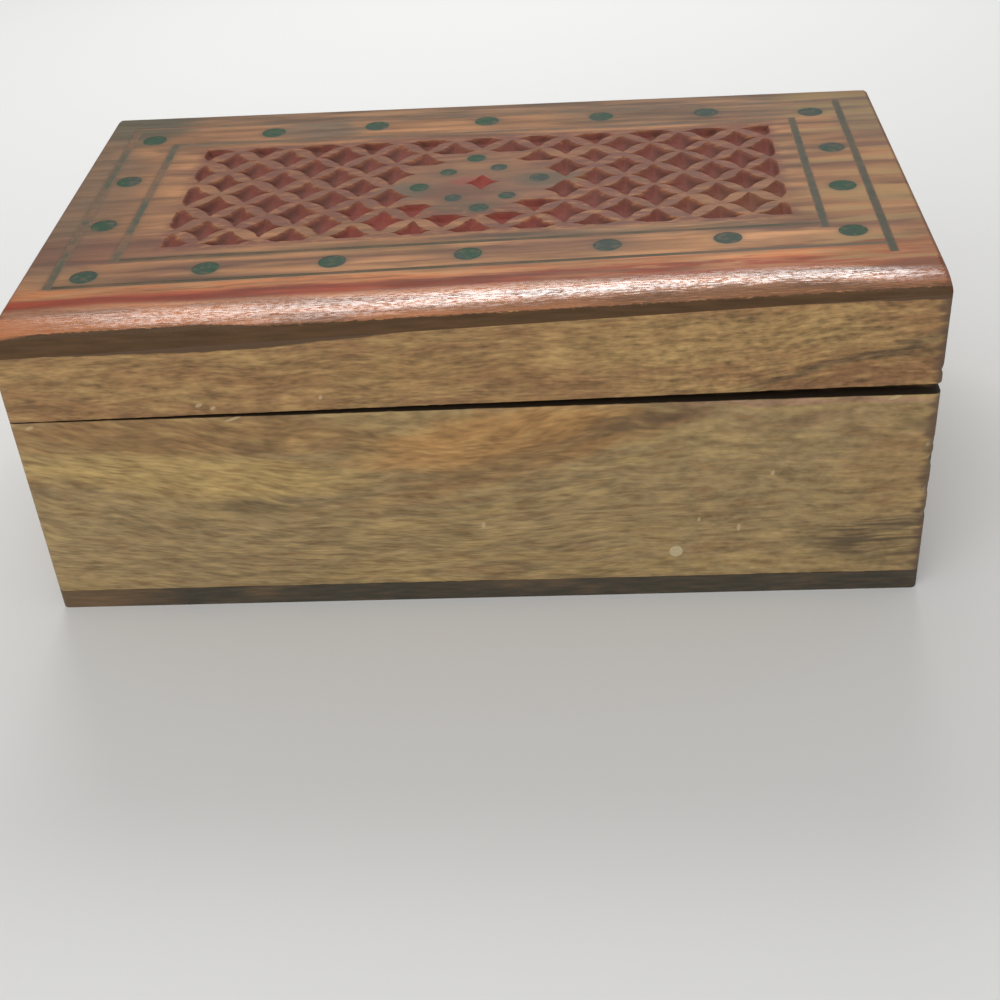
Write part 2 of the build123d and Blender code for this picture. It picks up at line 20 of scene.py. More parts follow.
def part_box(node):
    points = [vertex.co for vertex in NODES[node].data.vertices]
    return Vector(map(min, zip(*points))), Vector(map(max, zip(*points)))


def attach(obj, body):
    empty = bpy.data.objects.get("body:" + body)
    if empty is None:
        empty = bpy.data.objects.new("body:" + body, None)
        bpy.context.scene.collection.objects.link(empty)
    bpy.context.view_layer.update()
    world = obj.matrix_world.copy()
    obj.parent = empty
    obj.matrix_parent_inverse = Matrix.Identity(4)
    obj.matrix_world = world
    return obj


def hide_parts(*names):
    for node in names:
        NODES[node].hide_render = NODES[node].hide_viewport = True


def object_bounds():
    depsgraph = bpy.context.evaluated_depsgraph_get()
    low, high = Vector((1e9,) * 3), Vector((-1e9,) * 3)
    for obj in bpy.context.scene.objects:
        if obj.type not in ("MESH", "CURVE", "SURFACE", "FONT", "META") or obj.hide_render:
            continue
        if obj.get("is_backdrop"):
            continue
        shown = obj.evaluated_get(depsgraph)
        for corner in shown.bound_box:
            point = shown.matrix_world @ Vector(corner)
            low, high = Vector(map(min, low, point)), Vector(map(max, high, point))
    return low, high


bl_info = {
    "name": "Carved keepsake box",
    "version": (1, 0, 0),
    "blender": (4, 5, 0),
    "location": "View3D > Sidebar > Keepsake box",
    "description": "Dresses a hinged wooden box with a carved and inlaid lid",
    "category": "Object",
}

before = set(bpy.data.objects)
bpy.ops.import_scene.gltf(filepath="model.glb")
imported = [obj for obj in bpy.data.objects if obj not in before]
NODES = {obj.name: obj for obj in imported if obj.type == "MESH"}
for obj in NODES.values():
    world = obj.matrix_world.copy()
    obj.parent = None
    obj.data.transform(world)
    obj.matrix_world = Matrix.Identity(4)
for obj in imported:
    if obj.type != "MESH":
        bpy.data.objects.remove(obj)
cad_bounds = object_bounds()
MM = 0.001

BOARD = "lid_top_board"
RAIL = "lid_front_rail"
WALL = "base_front_wall"
LINES = [
    f"inlay_{ring}_{side}"
    for ring in ("outer", "inner")
    for side in ("front", "back", "left", "right")
]
DOTS = ["border_dots", "medallion_dots"]
BOARD_LOW, BOARD_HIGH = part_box(BOARD)
RAIL_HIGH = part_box(RAIL)[1]
WALL_LOW, WALL_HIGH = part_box(WALL)
PLUG = sum(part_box("front_wall_plug"), Vector()) / 2
HALF_LENGTH = BOARD_HIGH.x
FRONT = BOARD_LOW.y
BACK = BOARD_HIGH.y

# Chips to each side of the field's middle, along the lid and across it
CHIP_COLUMNS, CHIP_ROWS = 10, 4
# Steps along a quarter of a chip's outline
CHIP_STEPS = (0.0, 0.06, 0.15, 0.27, 0.4, 0.53, 0.66, 0.78, 0.88, 0.95)
# Width, height and depth of the rings down a chip's slope, as shares of the chip's own
CHIP_RINGS = ((1.0, 1.0, 0.0), (0.88, 0.9, 0.15), (0.6, 0.68, 0.56), (0.3, 0.38, 0.88))
# Points of the keel, as shares of the chip's height
KEEL_STEPS = (0.24, 0.5, 0.76)

# Plan and edges of the board
SEAT_CLEARANCE = 0.05 * MM
GROOVE_DEPTH = 1.0 * MM
ROUND_END = FRONT + 14 * MM
ARRIS_END = FRONT + 4 * MM
NOTCH_STEP = 0.02 * MM
TINY = 0.001 * MM
EDGE_ROWS = 5

# Steps between free points on the front round, along the ends and the back, and elsewhere
ROUND_ROW, ROUND_STEP, EDGE_STEP, PLAIN_STEP = 0.55 * MM, 0.8 * MM, 1.4 * MM, 1.8 * MM
# Rows of free points inside the ends, inside the back and round the dots, in millimetres
END_INSETS = (0.12, 0.3, 0.55, 0.8)
BACK_INSETS = (0.03, 0.12, 0.3, 0.6, 1.0, 1.5, 2.2, 3.0)
DOT_RINGS = (0.6, 1.4)
INLAY_MARGIN = 0.25 * MM

# Places of the Mix node's sockets when it mixes colours
MIX_SHARE, MIX_FIRST, MIX_SECOND, MIX_RESULT = 0, 6, 7, 2


def size(label, about, default):
    """A length that a user may change."""
    return FloatProperty(name=label, description=about, default=default, unit="LENGTH", precision=5)


def colour(label, about, default):
    """A linear colour that a user may change."""
    return FloatVectorProperty(
        name=label, description=about, default=default, size=3, min=0, max=1, subtype="COLOR"
    )


class KeepsakeBoxSizes(bpy.types.PropertyGroup):
    """Sizes of the carving and of the worn edges."""

    chip_step_x: size("Chip step along", "Distance between neighbouring columns of chips", 7.12 * MM)
    chip_step_y: size("Chip step across", "Distance between neighbouring rows of chips", 6.95 * MM)
    field_x: size("Field centre along", "Centre of the carved field", 0.65 * MM)
    field_y: size("Field centre across", "Centre of the carved field", 7.25 * MM)
    chip_gap: size("Chip gap", "Uncut wood left at a chip's points", 0.7 * MM)
    chip_depth: size("Chip depth", "Depth of a chip at its middle", 1.4 * MM)
    field_trim: size("Field trim", "Reach of an outer chip past its middle", 1.6 * MM)
    heart_reach: size("Heart chip", "Half the width of the small chip in the middle", 4.6 * MM)
    heart_depth: size("Heart depth", "Depth of the small chip in the middle", 1.0 * MM)
    arris_back: size("Arris set back", "From the front of the box to the arris of the lid", 1.8 * MM)
    corner_ease: size("Corner ease", "Radius of the upright corners", 1.5 * MM)
    edge_wear: size("Edge wear", "Largest wear on the long edges", 0.55 * MM)
    ripple: size("Plane ripple", "Height of the waves that hand work left on the front round", 0.05 * MM)


class KeepsakeBoxColours(bpy.types.PropertyGroup):
    """Colours of the woods and of the metal."""

    wall_olive: colour("Wall olive", "Ground colour of the walls", (0.274, 0.192, 0.092))
    wall_yellow: colour("Wall yellow", "Light figure of the walls", (0.39, 0.262, 0.1))
    wall_orange: colour("Wall orange", "Warm figure of the walls", (0.40, 0.21, 0.072))
    wall_brown: colour("Wall brown", "Brown figure of the walls", (0.262, 0.142, 0.055))
    wall_dark: colour("Wall dark", "Dark figure of the walls", (0.088, 0.06, 0.034))
    # The pale upper rim is partly rubbed wear and partly a painted highlight on the arris
    wall_pink: colour("Wall pink", "Rubbed upper rim of the front wall", (0.33, 0.185, 0.12))
    wall_fleck: colour("Wall fleck", "Pale flecks and fresh wood of nicks", (0.5, 0.38, 0.21))
    corner_stain: colour("Corner stain", "Upright edge at the right end", (0.1, 0.06, 0.04))
    # Painted shade on the wall's top rim, so the gap under the lid reads dark
    seam_shade: colour("Seam shade", "Painted shade where base and lid meet", (0.026, 0.017, 0.01))
    rail_tan: colour("Rail tan", "Ground colour of the lid's front rail", (0.275, 0.15, 0.064))
    lid_tan: colour("Lid tan", "Light stripes of the lid", (0.415, 0.195, 0.08))
    lid_orange: colour("Lid orange", "Warm stripes of the lid", (0.47, 0.155, 0.05))
    lid_brown: colour("Lid brown", "Ground colour of the lid", (0.225, 0.105, 0.05))
    lid_mauve: colour("Lid mauve", "Stained stripes of the lid", (0.145, 0.06, 0.038))
    lid_smoke: colour("Lid smoke", "Greyed wood of the lid", (0.145, 0.1, 0.062))
    stain_red: colour("Red stain", "Stain along the front round", (0.285, 0.04, 0.011))
    medallion: colour("Medallion", "Smoothed wood in the middle of the field", (0.19, 0.096, 0.058))
    ridge: colour("Ridge", "Stained wood left between the chips", (0.213, 0.076, 0.043))
    chip_dark: colour("Chip dark", "Stained wood inside the chips", (0.158, 0.059, 0.043))
    # Also laid as painted light on the chips' facets that face the field's middle
    chip_red: colour("Chip red", "Brighter stain of the chips near the middle", (0.275, 0.06, 0.045))
    # Also laid as painted shade between the lid's highlight and its arris
    edge_dark: colour("Dark edge", "Stained edges of the boards", (0.099, 0.055, 0.027))
    bottom_dark: colour("Bottom", "Stained edge of the bottom board", (0.044, 0.037, 0.023))
    plug_pale: colour("Plug pale", "Filler of the pin hole", (0.50, 0.42, 0.25))
    plug_tan: colour("Plug tan", "Grain in the filler of the pin hole", (0.40, 0.31, 0.17))
    # The dots' green and blue-grey are partly tarnish and partly a painted reflection of a teal cloth
    metal_green: colour("Metal green", "Dots green with tarnish and painted reflection", (0.019, 0.066, 0.031))
    metal_blue: colour("Metal blue", "Greyed dots", (0.04, 0.06, 0.044))
    metal_grey: colour("Metal grey", "Rubbed lines", (0.075, 0.077, 0.047))
    metal_dim: colour("Metal dim", "Lines at the right end", (0.06225, 0.06391, 0.03901))
    metal_dark: colour("Metal dark", "Lines along the front of the lid", (0.066, 0.052, 0.02))
    brass: colour("Brass", "Hinges and screws", (0.52, 0.37, 0.15))
    brass_bloom: colour("Brass bloom", "Brown bloom on the brass", (0.20, 0.12, 0.05))
    floor: colour("Floor", "Studio floor", (0.80, 0.80, 0.79))
    floor_tooth: colour("Floor tooth", "Faint tooth of the studio floor", (0.7, 0.7, 0.7))


class KeepsakeBoxStudio(bpy.types.PropertyGroup):
    """Strength of the studio lights."""

    sky: FloatProperty(name="Sky", description="Strength of the even light", default=0.45, min=0)
    rear: FloatProperty(
        name="Rear softbox", description="Light over the back of the box", default=2.7, unit="POWER"
    )
    front: FloatProperty(
        name="Front softbox", description="Light from the front left", default=7.8, unit="POWER"
    )


def sizes():
    """The sizes of the box."""
    return bpy.context.scene.keepsake_sizes


def colours():
    """The colours of the box."""
    return bpy.context.scene.keepsake_colours


class Signal:
    """A shader socket that can stand in a sum."""

    def __init__(self, graph, socket):
        self.graph = graph
        self.socket = socket

    def math(self, operation, *values):
        """The values put through a Math node."""
        return self.graph.node("ShaderNodeMath", {"operation": operation}, dict(enumerate(values)))

    def __add__(self, other):
        return self.math("ADD", self, other)

    def __sub__(self, other):
        return self.math("SUBTRACT", self, other)

    def __rsub__(self, other):
        return self.math("SUBTRACT", other, self)

    def __mul__(self, other):
        return self.math("MULTIPLY", self, other)

    def __truediv__(self, other):
        return self.math("DIVIDE", self, other)

    def __rtruediv__(self, other):
        return self.math("DIVIDE", other, self)

    def __abs__(self):
        return self.math("ABSOLUTE", self)

    __radd__ = __add__
    __rmul__ = __mul__

    def lower(self, other):
        """The smaller of the two."""
        return self.math("MINIMUM", self, other)

    def higher(self, other):
        """The larger of the two."""
        return self.math("MAXIMUM", self, other)

    def rise(self, start, end):
        """0 before start, 1 after end and smooth between them; start may be the larger."""
        return self.graph.node(
            "ShaderNodeMapRange",
            {"interpolation_type": "SMOOTHSTEP"},
            {"Value": self, "From Min": start, "From Max": end},
        )


class Finish:
    """A material whose nodes are written as expressions and whose colours are laid in turn.

    x, y and z are the place on the piece, and base is the colour laid so far.
    """

    def __init__(self, name, ground=None):
        self.material = bpy.data.materials.new(name)
        self.material.use_nodes = True
        self.tree = self.material.node_tree
        self.shader = self.tree.nodes["Principled BSDF"]
        self.base = ground
        place = self.node("ShaderNodeTexCoord", {}, {}, "Object")
        scaled = self.node(
            "ShaderNodeVectorMath", {"operation": "SCALE"}, {0: place, "Scale": 1 / MM}
        )
        parts = self.node("ShaderNodeSeparateXYZ", {}, {0: scaled}).socket.node
        self.x, self.y, self.z = (Signal(self, out) for out in parts.outputs)

    def fill(self, socket, value):
        """Links a signal to a socket or sets the socket's value."""
        if isinstance(value, Signal):
            self.tree.links.new(value.socket, socket)
        else:
            socket.default_value = value

    def node(self, kind, settings, values, output=0):
        """Adds a node, sets it up, fills its sockets and returns one output."""
        made = self.tree.nodes.new(kind)
        for name, value in settings.items():
            setattr(made, name, value)
        for key, value in values.items():
            self.fill(made.inputs[key], value)
        return Signal(self, made.outputs[output])

    def attribute(self, name):
        """A number stored on the points of the mesh."""
        return self.node("ShaderNodeAttribute", {"attribute_name": name}, {}, "Fac")

    def noise(self, x, y, z, detail=2.0, rough=0.5):
        """Noise from 0 to 1 at a point given in waves."""
        place = self.node("ShaderNodeCombineXYZ", {}, {0: x, 1: y, 2: z})
        return self.node(
            "ShaderNodeTexNoise",
            {"noise_dimensions": "3D"},
            {"Vector": place, "Scale": 1.0, "Detail": detail, "Roughness": rough},
        )

    def blot(self, u, v, place, reach, tilt=0.0):
        """1 in the middle of a soft oval on the u, v plane and 0 beyond it."""
        du, dv = u - place[0], v - place[1]
        run, rise = du / reach[0], (dv - du * tilt) / reach[1]
        return (run * run + rise * rise).rise(1.3, 0.25)

    def mix(self, share, first, second, blend="MIX"):
        """A colour between first, at share 0, and second, at share 1."""
        first, second = (v if isinstance(v, Signal) else (*v, 1.0) for v in (first, second))
        return self.node(
            "ShaderNodeMix",
            {"data_type": "RGBA", "blend_type": blend},
            {MIX_SHARE: share, MIX_FIRST: first, MIX_SECOND: second},
            MIX_RESULT,
        )

    def shade(self, base, factor):
        """A colour made lighter or darker by a signal."""
        return self.mix(1.0, base, factor, "MULTIPLY")

    def lay(self, share, shade):
        """Lays a colour over the base colour."""
        self.base = self.mix(share, self.base, shade)

    def tone(self, factor):
        """Makes the base colour lighter or darker by a signal."""
        self.base = self.shade(self.base, factor)

    def daub(self, u, v, daubs):
        """Lays soft ovals of (shade, place, reach, share, tilt) on the u, v plane.

        An oval without a tilt leaves it out.
        """
        for shade, place, reach, share, *tilt in daubs:
            self.lay(self.blot(u, v, place, reach, *tilt) * share, shade)

    def close(self, *bumps, **sockets):
        """Fills the shader and returns the finish.

        Sockets are named in lower case with underscores; bumps are (height, strength).
        """
        for name, value in {"base_color": self.base, **sockets}.items():
            title = name.replace("_", " ").title().replace("Ior", "IOR")
            self.fill(self.shader.inputs[title], value)
        normal = {}
        for height, strength in bumps:
            values = {"Height": height * MM, "Strength": strength, "Distance": 1.0, **normal}
            normal = {"Normal": self.node("ShaderNodeBump", {}, values)}
        for name, value in normal.items():
            self.fill(self.shader.inputs[name], value)
        return self


def tree_of(node):
    """Ray-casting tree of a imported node."""
    mesh = NODES[node].data
    return BVHTree.FromPolygons(
        [v.co for v in mesh.vertices], [tuple(p.vertices) for p in mesh.polygons]
    )


def height_on(tree, x, y):
    """Height of the upper face of a node at x and y, sampled just inside its outline."""
    for inset in (0.02 * MM, 0.15 * MM, 0.5 * MM, 1.5 * MM):
        held_x = min(max(x, -HALF_LENGTH + inset), HALF_LENGTH - inset)
        held_y = min(max(y, FRONT + inset), BACK - inset)
        hit = tree.ray_cast(Vector((held_x, held_y, 1.0)), Vector((0, 0, -1)))[0]
        if hit:
            return hit.z
    raise ValueError(f"no face above x {x}, y {y}")


def islands(node):
    """Centre and radius of each separate disc of a node."""
    mesh = bmesh.new()
    mesh.from_mesh(NODES[node].data)
    bmesh.ops.remove_doubles(mesh, verts=mesh.verts, dist=TINY)
    left, found = set(mesh.verts), []
    while left:
        stack, disc = [left.pop()], []
        while stack:
            vertex = stack.pop()
            disc.append(vertex.co.copy())
            for edge in vertex.link_edges:
                other = edge.other_vert(vertex)
                if other in left:
                    left.remove(other)
                    stack.append(other)
        xs, ys = [v.x for v in disc], [v.y for v in disc]
        centre = ((min(xs) + max(xs)) / 2, (min(ys) + max(ys)) / 2)
        found.append((centre, (max(xs) - min(xs)) / 2))
    mesh.free()
    return sorted(found)


def wobble(*place, seed=0.0):
    """Smooth noise from -1 to 1 at a place given in waves."""
    point = Vector((*place, 0.0, 0.0)[:3]) + Vector((seed, seed * 1.7, -seed))
    return noise.noise(point)


def circle(centre, radius, count):
    """Points round a circle."""
    turns = [2 * math.pi * n / count for n in range(count)]
    return [(centre[0] + radius * math.cos(a), centre[1] + radius * math.sin(a)) for a in turns]


def slope(ends, reach):
    """Height as a function of x on a line between its heights at -reach and at reach."""
    return lambda x: ends[0] + (ends[1] - ends[0]) * (x + reach) / (2 * reach)


def front_face(x):
    """The front of the box as y at x, which turns back round the upright corners."""
    ease = sizes().corner_ease
    past = max(0.0, abs(x) - (HALF_LENGTH - ease))
    return FRONT + ease - math.sqrt(max(ease**2 - past**2, 0.0))


def inside(outline, x, y):
    """Whether a point lies in an outline."""
    within = False
    for (ax, ay), (bx, by) in zip(outline, outline[1:] + outline[:1]):
        if (ay > y) != (by > y) and x < (bx - ax) * (y - ay) / (by - ay) + ax:
            within = not within
    return within


def in_inlay(discs, grooves, x, y, margin=0.0):
    """Whether a point lies in the seat of a dot or the groove of a line, or near one."""
    if any((x - cx) ** 2 + (y - cy) ** 2 < (r + 2 * margin) ** 2 for (cx, cy), r in discs):
        return True
    return any(
        x0 - margin < x < x1 + margin and y0 - margin < y < y1 + margin
        for x0, y0, x1, y1 in grooves
    )


def add_piece(name, vertices, faces, sharp_angle):
    """A smooth-shaded mesh object with sharp edges beyond an angle."""
    mesh = bpy.data.meshes.new(name)
    mesh.from_pydata(vertices, [], faces)
    shaped = bmesh.new()
    shaped.from_mesh(mesh)
    bmesh.ops.recalc_face_normals(shaped, faces=shaped.faces)
    shaped.to_mesh(mesh)
    shaped.free()
    mesh.shade_smooth()
    mesh.set_sharp_from_angle(angle=math.radians(sharp_angle))
    piece = bpy.data.objects.new(name, mesh)
    bpy.context.scene.collection.objects.link(piece)
    return piece


def dress(piece, *finishes):
    """Gives a piece its materials in order."""
    # A mesh without materials isn't cleared, because that would forget its faces' slots
    if piece.data.materials:
        piece.data.materials.clear()
    for finish in finishes:
        piece.data.materials.append(finish.material)


def chip_outline(reach, cut, seed):
    """Outline of a chip round its middle: a star of four points with a pointed body."""
    trim = sizes().field_trim
    outline = []
    for turn, (side_x, side_y) in enumerate(((1, 1), (-1, 1), (-1, -1), (1, -1))):
        for share in CHIP_STEPS:
            past = 1 - share
            along, across = (share, past) if turn % 2 else (past, share)
            px = along**1.15 * side_x
            py = across**1.9 * (1 + 1.7 * along * across**2) * side_y
            swell = 1 + 0.13 * wobble(2 * px, 2 * py, seed=seed)
            swell += 0.07 * wobble(5 * px, 5 * py, seed=seed)
            x, y = px * reach[0] * swell, py * reach[1] * swell
            if cut[0]:
                x = cut[0] * min(cut[0] * x, trim)
            if cut[1]:
                y = cut[1] * min(cut[1] * y, trim)
            outline.append((x, y))
    return outline


class TopSheet:
    """Plan of the lid's top: points with a depth, and edges that the mesh has to follow."""

    def __init__(self):
        self.points = []
        self.depths = []
        self.sides = []
        self.edges = []
        self.keep_clear = []

    def add(self, x, y, depth=0.0, side=0.0):
        """Adds a point and returns its number."""
        self.points.append((x, y))
        self.depths.append(depth)
        self.sides.append(side)
        return len(self.points) - 1

    def ring(self, places, depths=None, sides=None):
        """Adds a closed ring of points with edges between them."""
        depths = depths or [0.0] * len(places)
        sides = sides or [0.0] * len(places)
        numbers = [self.add(x, y, d, s) for (x, y), d, s in zip(places, depths, sides)]
        self.edges += list(zip(numbers, numbers[1:] + numbers[:1]))
        return numbers

    def chip(self, centre, reach, deep, cut, seed):
        """Adds a chip that slopes from its outline to a short keel.

        cut is the side in x and in y, -1, 0 or 1, on which the chip is cut short.
        """
        cx, cy = centre
        outline = chip_outline(reach, cut, seed)
        self.keep_clear.append((cx, cy, max(reach) * 1.2, outline))
        off_x = 0.6 * MM * wobble(seed, 5.0)
        outward = math.copysign(1.0, cx - sizes().field_x)
        last = None
        for wide, tall, share in CHIP_RINGS:
            places = [(cx + off_x * (1 - wide) + x * wide, cy + y * tall) for x, y in outline]
            depths = [
                deep * share * (1 + 0.16 * wobble(x / (1.6 * MM), y / (1.6 * MM), seed=7.0))
                for x, y in places
            ]
            # Side of a point from the keel, signed away from the field's middle; the chip finish paints
            # light and shade by it
            sides = [outward * (x - cx) / (2.2 * MM) for x, _ in places]
            numbers = self.ring(places, depths, sides)
            if last:
                self.edges += list(zip(last, numbers))
            last = numbers
        low, high = min(y for _, y in outline), max(y for _, y in outline)
        keel = [
            self.add(cx + off_x, cy + 0.38 * (low + (high - low) * share), deep)
            for share in KEEL_STEPS
        ]
        self.edges += list(zip(keel, keel[1:]))


def cut_field(sheet):
    """Cuts the chips of the field and the small one in its middle."""
    s = sizes()
    seed = 0
    for row in range(-CHIP_ROWS, CHIP_ROWS + 1):
        for column in range(-CHIP_COLUMNS, CHIP_COLUMNS + 1):
            if (row + column) % 2 or abs(row) + abs(column) <= 2:
                continue
            seed += 1
            centre = (
                s.field_x + column * s.chip_step_x + 0.6 * MM * wobble(seed * 0.71, 0.0),
                s.field_y + row * s.chip_step_y + 0.5 * MM * wobble(seed * 0.71, 4.0),
            )
            grow = 0.95 + 0.24 * wobble(seed * 0.67, 2.0)
            uneven = 0.32 if column < 0 else 0.18
            wide = min(1 + uneven * wobble(seed * 1.9, 6.0), 1.06)
            tall = min(1 + uneven * wobble(seed * 1.4, 9.0), 1.04)
            reach = (
                (s.chip_step_x - s.chip_gap) * grow * wide,
                (s.chip_step_y - s.chip_gap) * grow * tall,
            )
            cut = (
                (column == CHIP_COLUMNS) - (column == -CHIP_COLUMNS),
                (row == CHIP_ROWS) - (row == -CHIP_ROWS),
            )
            if abs(column) <= 2 and abs(row) <= 3:
                cut = (0, -1 if row > 0 else 1)
            deep = s.chip_depth * (1 + 0.4 * wobble(seed * 1.3))
            sheet.chip(centre, reach, deep, cut, seed * 0.61)
    heart = (s.field_x + 0.9 * MM, s.field_y - 0.4 * MM)
    sheet.chip(heart, (s.heart_reach, s.heart_reach), s.heart_depth, (0, 0), 40.3)


def draw_inlay(sheet):
    """Draws the seats of the dots and the grooves of the lines and returns both."""
    discs = [disc for node in DOTS for disc in islands(node)]
    for centre, radius in discs:
        sheet.ring(circle(centre, radius + SEAT_CLEARANCE, 40))
    grooves = []
    for node in LINES:
        low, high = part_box(node)
        grooves.append((low.x, low.y, high.x, high.y))
        sheet.ring([(low.x, low.y), (high.x, low.y), (high.x, high.y), (low.x, high.y)])
    return discs, grooves


def draw_rim(sheet):
    """Draws the worn arris in front, the right end, the back and the left end.

    Returns the numbers of the points and the points of the arris.
    """
    s = sizes()
    ease = s.corner_ease
    corner_x, corner_y = HALF_LENGTH - ease, BACK - ease
    arris_y = FRONT + s.arris_back
    arris_reach = corner_x + math.sqrt(ease**2 - (ease - s.arris_back) ** 2)
    arris = []
    for x in np.linspace(-arris_reach, arris_reach, 420):
        worn = 0.25 * wobble(x / (9 * MM), 1.0) + 0.35 * wobble(x / (2.2 * MM), 3.0)
        nick = max(0.0, wobble(x / (4.5 * MM), 8.0) - 0.35) * 1.6
        arris.append((x, arris_y + s.edge_wear * (worn + nick) * 0.8))
    notch = [RAIL_HIGH.y - NOTCH_STEP, RAIL_HIGH.y]
    side_ys = sorted([*np.linspace(arris_y + 0.9 * MM, corner_y, 84), *notch])
    turns = np.linspace(0, math.pi / 2, 7)[1:-1]
    rim = arris + [(HALF_LENGTH, y) for y in side_ys]
    rim += [(corner_x + ease * math.cos(a), corner_y + ease * math.sin(a)) for a in turns]
    rim += [(x, BACK) for x in np.linspace(corner_x, -corner_x, 140)]
    rim += [(-corner_x - ease * math.sin(a), corner_y + ease * math.cos(a)) for a in turns]
    rim += [(-HALF_LENGTH, y) for y in reversed(side_ys)]
    return sheet.ring(rim), arris


def scatter(sheet, discs, grooves):
    """Adds free points, close together on the rounded edges and round the dots."""
    s = sizes()
    left, right = -HALF_LENGTH, HALF_LENGTH
    corner_x = HALF_LENGTH - s.corner_ease
    free = []
    for y in np.arange(FRONT + s.arris_back + 0.5 * MM, FRONT + 15.5 * MM, ROUND_ROW):
        free += [(x, y) for x in np.arange(left + 1.1 * MM, right - MM, ROUND_STEP)]
    for inset in END_INSETS:
        for side in (-1, 1):
            x = side * (HALF_LENGTH - inset * MM)
            free += [(x, y) for y in np.arange(FRONT + 2.6 * MM, BACK - 1.6 * MM, EDGE_STEP)]
    for inset in BACK_INSETS:
        y = BACK - inset * MM
        free += [(x, y) for x in np.arange(-corner_x, corner_x, EDGE_STEP)]
    for row, y in enumerate(np.arange(FRONT + 16 * MM, BACK - 3.6 * MM, PLAIN_STEP)):
        shift = 0.9 * MM * (row % 2)
        free += [(x + shift, y) for x in np.arange(left + 1.5 * MM, right - 2 * MM, PLAIN_STEP)]
    for centre, radius in discs:
        for past in DOT_RINGS:
            free += circle(centre, radius + past * MM, 20)
    for x, y in free:
        if in_inlay(discs, grooves, x, y, margin=INLAY_MARGIN):
            continue
        near = [c for c in sheet.keep_clear if (x - c[0]) ** 2 + (y - c[1]) ** 2 < c[2] ** 2]
        if not any(inside(c[3], (x - c[0]) * 0.97, (y - c[1]) * 0.97) for c in near):
            sheet.add(x, y)


def plain_top_of(tree):
    """Height of the uncarved top as a function of x and y, fitted to plain places."""
    x0, y0 = 0.965 * HALF_LENGTH, 0.05 * BACK
    places = [(sx * x0, y) for sx in (-1, 1) for y in (y0 - 30 * MM, y0, y0 + 30 * MM)]
    places += [(x, FRONT + 20 * MM) for x in (-70 * MM, -20 * MM, 30 * MM, 80 * MM)]
    rows = [(1, x, y, x * y) for x, y in places]
    heights = [height_on(tree, x, y) for x, y in places]
    fit = np.linalg.lstsq(np.array(rows), np.array(heights), rcond=None)[0]
    return lambda x, y: fit[0] + fit[1] * x + fit[2] * y + fit[3] * x * y


def hand_worked_top():
    """Height of the lid's top as a function of x and y, with the waves of hand work."""
    tree = tree_of(BOARD)
    plain_top = plain_top_of(tree)
    ripple = sizes().ripple

    def surface(x, y):
        plain = ROUND_END < y < BACK - 3.1 * MM and abs(x) < HALF_LENGTH - 0.9 * MM
        height = plain_top(x, y) if plain else height_on(tree, x, y)
        hand = 0.012 * MM * wobble(x / (13 * MM), y / (7 * MM))
        share = min(max((ROUND_END - y) / (6 * MM), 0.0), 1.0)
        hand += share * ripple * wobble(x / (16 * MM), y / (5 * MM), seed=3.0)
        return height + hand

    return surface


def keep_faces(plan, triangles, arris, discs, grooves):
    """Triangles behind the arris and outside the seats and the grooves."""
    arris_x, arris_y = np.array(arris).T
    kept = []
    for triangle in triangles:
        x = sum(plan[n].x for n in triangle) / 3
        y = sum(plan[n].y for n in triangle) / 3
        fallen = y < ARRIS_END and y < np.interp(x, arris_x, arris_y)
        if not fallen and not in_inlay(discs, grooves, x, y):
            kept.append(tuple(triangle))
    return kept


def sink_inlay(vertices, faces, loop):
    """Adds the walls of the seats and the grooves at open borders away from the rim."""
    borders = {}
    for face in faces:
        for a, b in zip(face, face[1:] + face[:1]):
            key = (min(a, b), max(a, b))
            borders[key] = None if key in borders else (a, b)
    rim = set(loop)
    lowered = {}
    for pair in borders.values():
        if pair is None or rim.issuperset(pair):
            continue
        for n in pair:
            if n not in lowered:
                x, y, z = vertices[n]
                lowered[n] = len(vertices)
                vertices.append((x, y, z - GROOVE_DEPTH))
        a, b = pair
        faces.append((b, a, lowered[a], lowered[b]))


def drop_edges(vertices, faces, loop, front_count):
    """Adds the front edge, the ends, the back and the underside below the rim's points."""
    corner_x = HALF_LENGTH - sizes().corner_ease
    notch_y = RAIL_HIGH.y
    rail_tree = tree_of(RAIL)
    seam = slope(
        [height_on(rail_tree, x, notch_y - 0.5 * MM) for x in (-corner_x, corner_x)], corner_x
    )
    frame_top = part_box("lid_left_rail")[1].z

    def grow(x, y, z):
        vertices.append((x, y, z))
        return len(vertices) - 1

    columns = []
    for number, n in enumerate(loop):
        x, y, z = vertices[n]
        column = [n]
        columns.append(column)
        if number < front_count:
            for row in range(1, EDGE_ROWS + 1):
                share = row / EDGE_ROWS
                torn = 0.07 * MM * wobble(x / (2.5 * MM), row * 0.8, seed=5.0)
                torn *= math.sin(math.pi * share)
                edge_y = y + (front_face(x) - y) * share + torn
                column.append(grow(x, edge_y, z + (seam(x) - z) * share))
            continue
        if y < notch_y + TINY:
            column.append(grow(x, y, seam(x)))
        if y >= notch_y - TINY:
            column.append(grow(x, y, frame_top))
    for first, second in zip(columns, columns[1:] + columns[:1]):
        if len(first) == len(second):
            for k in range(len(first) - 1):
                faces.append((first[k + 1], second[k + 1], second[k], first[k]))
        else:
            faces.append((*reversed(first), *second))

    # Underside in two levels, with a step behind the front rail
    right, left = [n for n, column in enumerate(columns) if len(column) == 3]
    _, right_low, right_high = columns[right]
    _, left_low, left_high = columns[left]
    faces.append((right_low, left_low, left_high, right_high))
    low_front = [column[-1] for column in columns[left + 1:] + columns[:right]]
    faces.append((left_low, *low_front, right_low))
    low_back = [column[-1] for column in columns[right + 1:left]]
    faces.append((right_high, *low_back, left_high))


